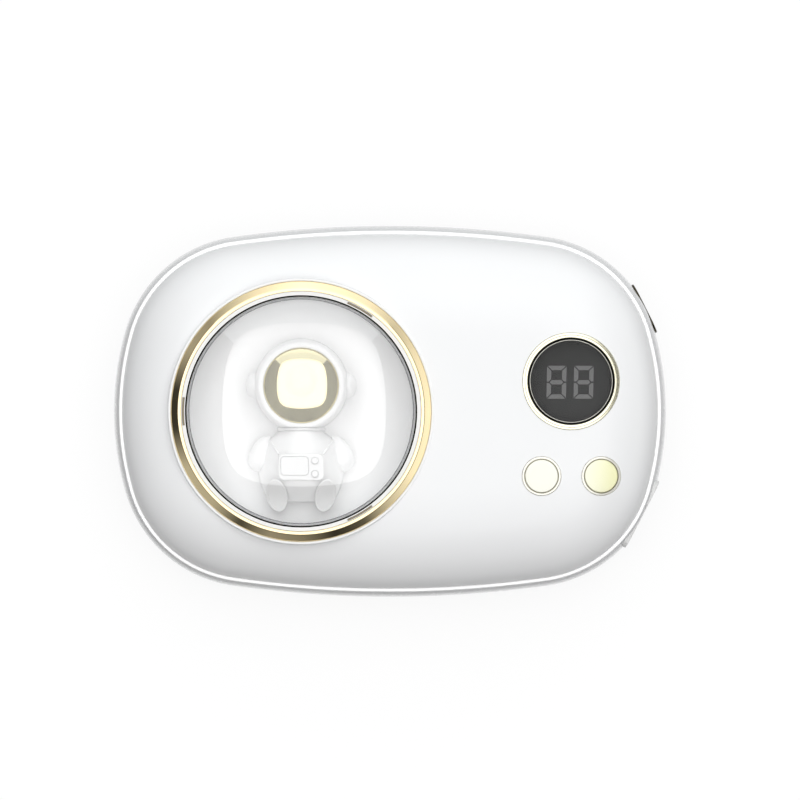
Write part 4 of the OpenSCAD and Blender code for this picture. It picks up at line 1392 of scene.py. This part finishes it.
def torso_height(y):
    """Height of the belly over the dish: nearly level, with a round end at the seat."""
    rounding_share = 0.34
    seat_share = 0.3
    chest_share = 0.9
    share = torso_share(y)
    into = max(share - 1 + rounding_share, 0) / rounding_share
    rise = chest_share + (1 - chest_share) * sin(min(share / (1 - rounding_share), 1) * RIGHT)
    return belly_radius * rise * (seat_share + (1 - seat_share) * sqrt(max(1 - into ** 2, 0)))


def torso():
    steps = 48
    places = [torso_top - torso_length * i / steps for i in range(steps + 1)]
    return half_round([(y, torso_radius(y), torso_height(y)) for y in places])


def neck_ring():
    soft = 0.3
    half = 4.9
    height_share = 1.52
    top = neck_y
    bottom = neck_y - neck_height
    stations = [(top, half - soft), (top - soft * 0.3, half - soft * 0.3), (top - soft, half),
                (bottom + soft, half), (bottom + soft * 0.3, half - soft * 0.3), (bottom, half - soft)]
    return half_round([(y, radius, radius * height_share) for y, radius in stations])


def arm(side):
    """A short sleeve that swells from the shoulder to a round hand."""
    height = dish_floor + 2.3
    path = [
        (6.2, -5.0, 0.3), (6.9, -5.6, 0.9), (7.5, -6.4, 1.35), (7.9, -7.2, 1.6), (8.2, -8.1, 1.85),
        (8.45, -9.0, 2.0), (8.6, -9.8, 2.1), (8.7, -10.5, 1.98), (8.8, -11.1, 1.6), (8.9, -11.6, 1.1),
        (9.0, -11.95, 0.5),
    ]
    points = [Vector((side * x, y, height)) for x, y, _ in path]
    return sweep(points, [radius for _, _, radius in path], 28)


def leg(side):
    """A stubby leg that points out of the dish, with a flat sole that looks down a little."""
    half_long, half_wide = 3.3, 2.1
    tilt = radians(90 - side * 14)
    sole_slope = 0.7
    centre = (side * 4.86, neck_y - 13.65)
    top = dish_floor + relief * 1.12
    soft = 0.4
    stations = [(top - dish_floor, 0.0), (soft, 0.0)]
    stations += [(soft - soft * up_share, soft * in_share) for up_share, in_share in bend(5)[1:]]
    # A groove round the sole
    stations += [(0, soft + 0.06), (0.07, soft + 0.12), (0.07, soft + 0.2), (0, soft + 0.26)]
    rows = []
    for number, (drop, shrink) in enumerate(stations):
        ring = []
        for angle in spread(0, TAU, 64):
            a = (half_long - shrink) * cos(angle)
            b = (half_wide - shrink) * sin(angle)
            x = a * cos(tilt) - b * sin(tilt)
            y = a * sin(tilt) + b * cos(tilt)
            fall = sole_slope * (half_long - y) if number else 0
            ring.append((centre[0] + x, centre[1] + y, top - drop - fall))
        rows.append(ring)
    return Shape().solid(rows)


def strap(side):
    """A raised seam from the shoulder to the chest pack."""
    shoulder, end = Vector((6.45, -5.7)), Vector((4.4, pack_y + pack_size[1] / 2 - 0.1))
    ridge = 0.2
    steps = 12
    points = []
    for i in range(steps + 1):
        at = shoulder.lerp(end, i / steps)
        height = torso_height(at.y) * sqrt(max(1 - (at.x / torso_radius(at.y)) ** 2, 0.01))
        points.append(Vector((side * at.x, at.y, dish_floor + height)))
    return sweep(points, [ridge] * len(points), 10)


def chest_pack():
    """A rounded pack with grooves round its screen and its two knobs."""
    corner = 1.2
    soft = 0.3
    groove, groove_depth = 0.13, 0.3
    screen_size, screen_corner = (5.5, 3.7), 0.75
    knob_radius, knob_rise = 0.66, 0.3
    top = dish_floor + belly_radius + 0.7
    stations = [(top - 2.2, 0.0), (top - soft, 0.0)]
    stations += [(top - soft + soft * up_share, -soft * in_share) for up_share, in_share in bend(4)[1:]]
    shape = Shape()
    rows = [shape.row(row) for row in block_rows(*pack_size, corner, stations)]
    shape.stack(rows)
    shape.cap(rows[0])
    knob = circle_row((0, 0), knob_radius, 0, 32)
    inlays = [(Vector((-1.3, 0.25)), rounded_rectangle(*screen_size, screen_corner), top)]
    inlays += [(Vector((2.76, side * knob_radius * 2)), knob, top + knob_rise) for side in (-1, 1)]
    face_rows = [rows[-1]]
    for centre, outline, middle_z in inlays:
        rings = []
        for offset, z in ((groove, top), (groove * 0.85, top - groove_depth), (0.0, top - groove_depth),
                          (-0.02, middle_z - 0.06), (-0.1, middle_z)):
            ways = [Vector(point[:2]) for point in outline]
            rings.append(shape.row([(*(centre + way + way.normalized() * offset), z) for way in ways]))
        shape.stack(rings)
        shape.cap(rings[-1])
        face_rows.append(rings[0])
    face_of(shape, face_rows)
    return shape.moved(lambda x, y, z: at_figure(x, pack_y + y, z))


def figure_body():
    shape = torso().joined(neck_ring())
    for side in (-1, 1):
        shape.joined(arm(side)).joined(leg(side)).joined(strap(side))
    return shape.moved(at_figure)


figure_head = helmet().joined(ear_pods()).moved(at_figure)
make_piece("traveller_helmet", figure_head, "figure_white", "figure_helmet")
make_piece("traveller_visor", visor(), "visor_gold", "figure_visor")
make_piece("traveller_body", figure_body(), "figure_white", "figure_body")
make_piece("traveller_pack", chest_pack(), "figure_white", "figure_chest_pack")


# Display: rings, a window that follows the front's surface, and the figures under it
window_z = front_height(display_from_end - display_radius) - window_least
mask_z = window_z - mask_depth
surround_bore = window_radius + fit_gap + highlight_ring_width


def level_rings(radius, height, rings):
    """A profile's end: rings that follow one height, down to the middle."""
    return [(radius * (1 - i / rings), height) for i in range(rings)] + [(0, height)]


def display_ring():
    bore = surround_radius + fit_gap
    return front_ring(display, bore, display_radius, -ring_depth, ring_proud, (0.12, 0.072))


def ring_line(centre, inner, width):
    """A fine dark line laid on a gold ring: painted shade, of a groove in the display's ring and of the gap
    round each button cap.
    """
    return front_ring(centre, inner, inner + width, 0, ring_proud + 0.02)


def display_surround():
    return front_ring(display, surround_bore, surround_radius, -ring_depth, 0.02, (0.06, 0.06))


def window_edge():
    """A thin pale ring round the window: a painted highlight, where the window's rounded rim catches the
    light.
    """
    gap = 0.01
    return front_ring(display, window_radius + gap, surround_bore - gap, -ring_depth, 0.02, (0.02, 0.02))


def display_mask():
    """A grey plate over the display's face, under the bars."""
    thickness = 0.06
    radius = window_radius - 0.05
    profile = [(0, mask_z - thickness), (radius, mask_z - thickness), (radius, mask_z), (0, mask_z)]
    return lathe(profile, display, 128, loop=False)


def smoked_lens():
    """A disc whose top follows the front's surface, down to a level foot."""
    soft = 0.1
    top = -window_sunk
    rounding = [(0, 1), (0.3, 0.3)]
    profile = [(0, window_z), (window_radius, window_z)]
    profile += [(window_radius - soft * within, lifted(top - soft * down)) for within, down in rounding]
    profile += level_rings(window_radius - soft, lifted(top), 6)
    return lathe(profile, display, 160, loop=False)


def digit_bars():
    """Two figures of seven bars with mitred ends, under the window."""
    width, height, stroke = 3.9, 6.56, 0.87
    gap = 0.15
    space = 1.5
    lean = 0.02
    left_x, middle_y = display[0] - 0.2, display[1] - 0.2
    half_w, half_h = width / 2, height / 2
    inner_w, inner_h = half_w - stroke, half_h - stroke
    half = stroke / 2
    bars = []
    for up in (-1, 1):
        bars.append([(-half_w + gap, up * half_h), (half_w - gap, up * half_h),
                     (inner_w - gap, up * inner_h), (-inner_w + gap, up * inner_h)])
        for side in (-1, 1):
            bars.append([(side * half_w, up * (half_h - gap)), (side * half_w, up * gap),
                         (side * (half_w - half), up * gap), (side * inner_w, up * (half + gap)),
                         (side * inner_w, up * (inner_h - gap))])
    bars.append([(-half_w + half + gap, 0), (-inner_w + gap, half), (inner_w - gap, half),
                 (half_w - half - gap, 0), (inner_w - gap, -half), (-inner_w + gap, -half)])
    shape = Shape()
    for side in (-1, 1):
        middle_x = left_x + side * (width + space) / 2
        for bar in bars:
            placed = [(middle_x + x + lean * y, middle_y + y) for x, y in bar]
            shape.solid([[(*point, z) for point in placed] for z in (mask_z, window_z - 0.03)])
    return shape


make_piece("display_gold_ring", display_ring(), "cream_gold", "display_bezel")
# Painted shade: a dark line where a groove would shade the display's ring
make_piece("display_ring_line", ring_line(display, display_radius - 0.5, 0.12), "ring_tan")
make_piece("display_black_ring", display_surround(), "display_black", "display_surround")
# Painted highlight: a pale ring for the light caught on the window's rim
make_piece("window_edge", window_edge(), "pale_gold")
make_piece("display_mask", display_mask(), "display_face")
make_piece("smoked_lens", smoked_lens(), "smoked_window", "display_window",
           normals=lambda x, y, z: UP)
make_piece("figure_bars", digit_bars(), "digit_grey", "digit_segments")


# Buttons: a cap in a gold sleeve
def button_cap(centre):
    soft = 0.16
    flange = cap_radius + cap_flange_width
    flange_top = cap_z + cap_flange
    rounding = [(0, 1), (0.1, 0.55), (0.3, 0.3), (0.6, 0.1)]
    profile = [(0, cap_z), (flange, cap_z), (flange, flange_top), (cap_radius, flange_top)]
    profile += [(cap_radius - soft * within, lifted(cap_proud - soft * down)) for within, down in rounding]
    profile += level_rings(cap_radius - soft, lifted(cap_proud), 4)
    return lathe(profile, centre, 96, loop=False)


def button_sleeve(centre):
    return front_ring(centre, bezel_bore, bezel_radius, -sleeve_depth, ring_proud, (0.1, 0.1), 96)


for word, centre in (("heat", heat_at), ("light", light_at)):
    make_piece(f"{word}_cap", button_cap(centre), "cap_cream", f"{word}_button_cap",
               body=f"{word}_button")
    make_piece(f"{word}_ring", button_sleeve(centre), "pale_gold", f"{word}_button_bezel")
    # Painted shade: a dark line for the shadow of the gap round the cap
    make_piece(f"{word}_ring_line", ring_line(centre, bezel_bore, 0.15), "ring_tan")


# Sockets: rounded trims in the wall, and the contacts on each tongue
def socket_trim(size, corner, bow):
    """A frame with softened edges round a socket's mouth, its front bowed like the wall."""
    face = trim_face(size[0])
    back_face = face - trim_depth
    half = size[0] / 2 + trim_frame
    soft = 0.18
    stations = [(back_face, fit_gap), (face - soft, fit_gap), (face - soft * 0.3, fit_gap + soft * 0.3),
                (face, fit_gap + soft), (face, trim_frame - soft),
                (face - soft * 0.3, trim_frame - soft * 0.3), (face - soft, trim_frame),
                (back_face, trim_frame)]

    def bowed(side, up, out):
        bulge = bow if out > back_face else 0
        return side, up, out + bulge * (1 - (side / half) ** 2)

    shape = Shape()
    shape.stack([shape.row(row) for row in block_rows(*size, corner, stations)], loop=True)
    return shape.moved(bowed)


def strips(count, pitch, size, start, level):
    """Flat contacts side by side along a socket's tongue."""
    length, width, thickness = size
    shape = Shape()
    for i in range(count):
        middle = (i - (count - 1) / 2) * pitch
        rows = []
        for up, shrink in ((level, 0), (level + thickness * 0.6, 0), (level + thickness, 0.05)):
            outline = rounded_rectangle(length - 2 * shrink, width - 2 * shrink, width * 0.2, 3)
            rows.append([(middle + side, up, start + length / 2 + out) for out, side in outline])
        shape.solid(rows)
    return shape


def usb_c_contacts():
    """Eight strips on each side of the tongue."""
    start = trim_face(usb_c_size[0]) - socket_sunk - usb_c_depth + socket_sheet + 0.7
    level = 0.35
    shape = Shape()
    for side in (1, -1):
        shape.joined(strips(8, 0.7, (3.4, 0.34, side * 0.05), start, side * level))
    return shape


def usb_a_contacts():
    """Four strips under the tongue."""
    start = trim_face(usb_a_size[0]) - socket_sunk - usb_a_depth + socket_sheet + 1.2
    level = usb_a_tongue_lift - usb_a_tongue_height / 2
    return strips(4, 2.5, (6.5, 1.1, -0.08), start, level)


c_trim = socket_trim(usb_c_size, usb_c_corner, usb_c_bow)
a_trim = socket_trim(usb_a_size, usb_a_corner, usb_a_bow)
make_piece("usb_c_frame", c_trim.moved(c_rule), "dark_bronze", "usb_c_trim")
make_piece("usb_a_frame", a_trim.moved(a_rule), "socket_trim_white", "usb_a_trim")
make_piece("usb_c_contacts", usb_c_contacts().moved(c_rule), "contact_gold")
make_piece("usb_a_contacts", usb_a_contacts().moved(a_rule), "contact_gold")


# Floor: plain and pale, white to the camera, clear from below, and it keeps the soft shadow
def floor_material():
    seen_grey = (0.13, 0.13, 0.13)
    seen_glow = 0.885
    lighting_grey = (0.08, 0.08, 0.08)
    material, tree = bare_tree_of("pale_floor")
    path = add_node(tree, "LightPath").outputs
    seen = most(tree, path["Is Camera Ray"], path["Is Glossy Ray"], path["Is Transmission Ray"])
    paint = add_node(tree, "BsdfDiffuse", {"Color": seen_grey})
    glow = add_node(tree, "Emission", {"Strength": seen_glow})
    white = add_node(tree, "AddShader", {0: paint.outputs[0], 1: glow.outputs[0]})
    matte = add_node(tree, "BsdfDiffuse", {"Color": lighting_grey})
    below = add_node(tree, "NewGeometry").outputs["Backfacing"]
    clear = add_node(tree, "BsdfTransparent")
    floor_shader = mixed(tree, below, mixed(tree, seen, matte, white), clear)
    add_node(tree, "OutputMaterial", {"Surface": floor_shader.outputs[0]})
    return material


floor_reach = 2500 * MM
floor_z = -0.05 * MM
floor_sides = ((-1, -1), (1, -1), (1, 1), (-1, 1))
floor_mesh = bpy.data.meshes.new("floor")
floor_corners = [(x * floor_reach, y * floor_reach, floor_z) for x, y in floor_sides]
floor_mesh.from_pydata(floor_corners, [], [(0, 1, 2, 3)])
floor_mesh.materials.append(floor_material())
object_of("floor", floor_mesh)

# Light: a square softbox in the ceiling of a plain room, whose walls differ by side
# Each wall's light is given at these climbs, from the horizon up to the softbox's edge
wall_climbs = (0, 0.2, 0.5, 0.85, 1.244)
wall_light = {
    "right": (0.7, 0.3, 0.1, 0.17, 0.18),
    "left": (0.03, 0.03, 0.1, 0.17, 0.18),
    "far": (2.0, 2.0, 1.45, 0.95, 0.85),
    "near": (0.03, 0.03, 0.15, 0.17, 0.18),
}
far_tint = (0.95, 0.985, 1)
brightest = 2
# Near the horizon the light goes by the compass: turns in degrees from the right, and the light there
compass_light = (
    (0, 1.16), (22, 1.0), (42, 0.68), (60, 1.1), (90, 1.45), (118, 0.78), (135, 0.33), (152, 0.4),
    (170, 0.04), (188, 0.04), (206, 0.5), (226, 0.46), (241, 0.06), (256, 0.3), (270, 0.22),
    (285, 0.03), (300, 0.1), (316, 0.68), (330, 1.08), (360, 1.16),
)
low_rises = (0.25, 0.35)
# The softbox: light at its middle and border, reach and place as shares of its height, corner power
softbox_light = (1.74, 1.42)
softbox_border_share = 0.85
softbox_reach = 0.804
softbox_place = (0.035, 0.09)
softbox_power = 5


def light_ramp(tree, share, places, values, tint=(1, 1, 1)):
    """A colour that runs through values of light as a share goes through places."""
    node = add_node(tree, "ValToRGB", {"Fac": share})
    stops = node.color_ramp.elements
    for place in places[2:]:
        stops.new(place)
    for stop, place, value in zip(stops, places, values):
        stop.position = place
        stop.color = (*[channel * value / brightest for channel in tint], 1)
    return node.outputs["Color"]


def room_light():
    world = bpy.data.worlds.new("studio")
    bpy.context.scene.world = world
    world.use_nodes = True
    tree = world.node_tree
    tree.nodes.clear()

    def run(operation, first, second=0):
        return maths(tree, operation, first, second)

    def chosen(test, if_one, if_nought):
        """The first colour where the test is 1, the second where it is 0."""
        return blended(tree, test, if_nought, if_one)

    x, y, z = parts_of(tree, "Generated")
    least = 0.0001
    wide_x, wide_y = run("ABSOLUTE", x), run("ABSOLUTE", y)
    climb_share = run("DIVIDE", run("DIVIDE", z, most(tree, wide_x, wide_y, least)), wall_climbs[-1])
    climb_places = [climb / wall_climbs[-1] for climb in wall_climbs]
    walls = {}
    for name, values in wall_light.items():
        tint = far_tint if name == "far" else (1, 1, 1)
        walls[name] = light_ramp(tree, climb_share, climb_places, values, tint)
    x_wall = chosen(run("GREATER_THAN", x, 0), walls["right"], walls["left"])
    y_wall = chosen(run("GREATER_THAN", y, 0), walls["far"], walls["near"])
    wall_colour = chosen(run("GREATER_THAN", wide_x, wide_y), x_wall, y_wall)

    compass_share = run("FRACT", run("ADD", run("DIVIDE", run("ARCTAN2", y, x), TAU), 1))
    compass_places = [turn / compass_light[-1][0] for turn, _ in compass_light]
    low_colour = light_ramp(tree, compass_share, compass_places, [light for _, light in compass_light])
    level_reach = run("POWER", run("ADD", run("MULTIPLY", x, x), run("MULTIPLY", y, y)), 0.5)
    low_share = ranged(tree, run("DIVIDE", z, most(tree, level_reach, least)), 1, 0, *low_rises)
    wall_colour = blended(tree, low_share, wall_colour, low_colour)

    above = most(tree, z, least)
    powers = []
    for axis, off in zip((x, y), softbox_place):
        from_middle = run("ABSOLUTE", run("SUBTRACT", run("DIVIDE", axis, above), off))
        powers.append(run("POWER", run("DIVIDE", from_middle, softbox_reach), softbox_power))
    border_share = run("POWER", run("ADD", *powers), 1 / softbox_power)
    middle_light, border_light = softbox_light
    box_colour = light_ramp(tree, border_share, [0, softbox_border_share, 1],
                            [middle_light, middle_light, border_light])
    room = chosen(run("LESS_THAN", border_share, 1), box_colour, wall_colour)

    seen = add_node(tree, "LightPath").outputs["Is Camera Ray"]
    light = add_node(tree, "Background", {
        "Color": chosen(seen, (1, 1, 1), room),
        "Strength": run("SUBTRACT", brightest, run("MULTIPLY", seen, brightest - 1)),
    })
    add_node(tree, "OutputWorld", {"Surface": light.outputs[0]})


room_light()

# Camera: straight down on the front through a long lens
view_width = 160
view_centre = (2.0, 2.26)
camera_data = bpy.data.cameras.new("camera")
camera_data.lens = 1000
camera_data.sensor_width = 36
distance = view_width * camera_data.lens / camera_data.sensor_width
camera = object_of("camera", camera_data)
camera.location = (view_centre[0] * MM, view_centre[1] * MM, (bulge_height + distance) * MM)
bpy.context.scene.camera = camera
bpy.context.scene.view_settings.view_transform = "Standard"
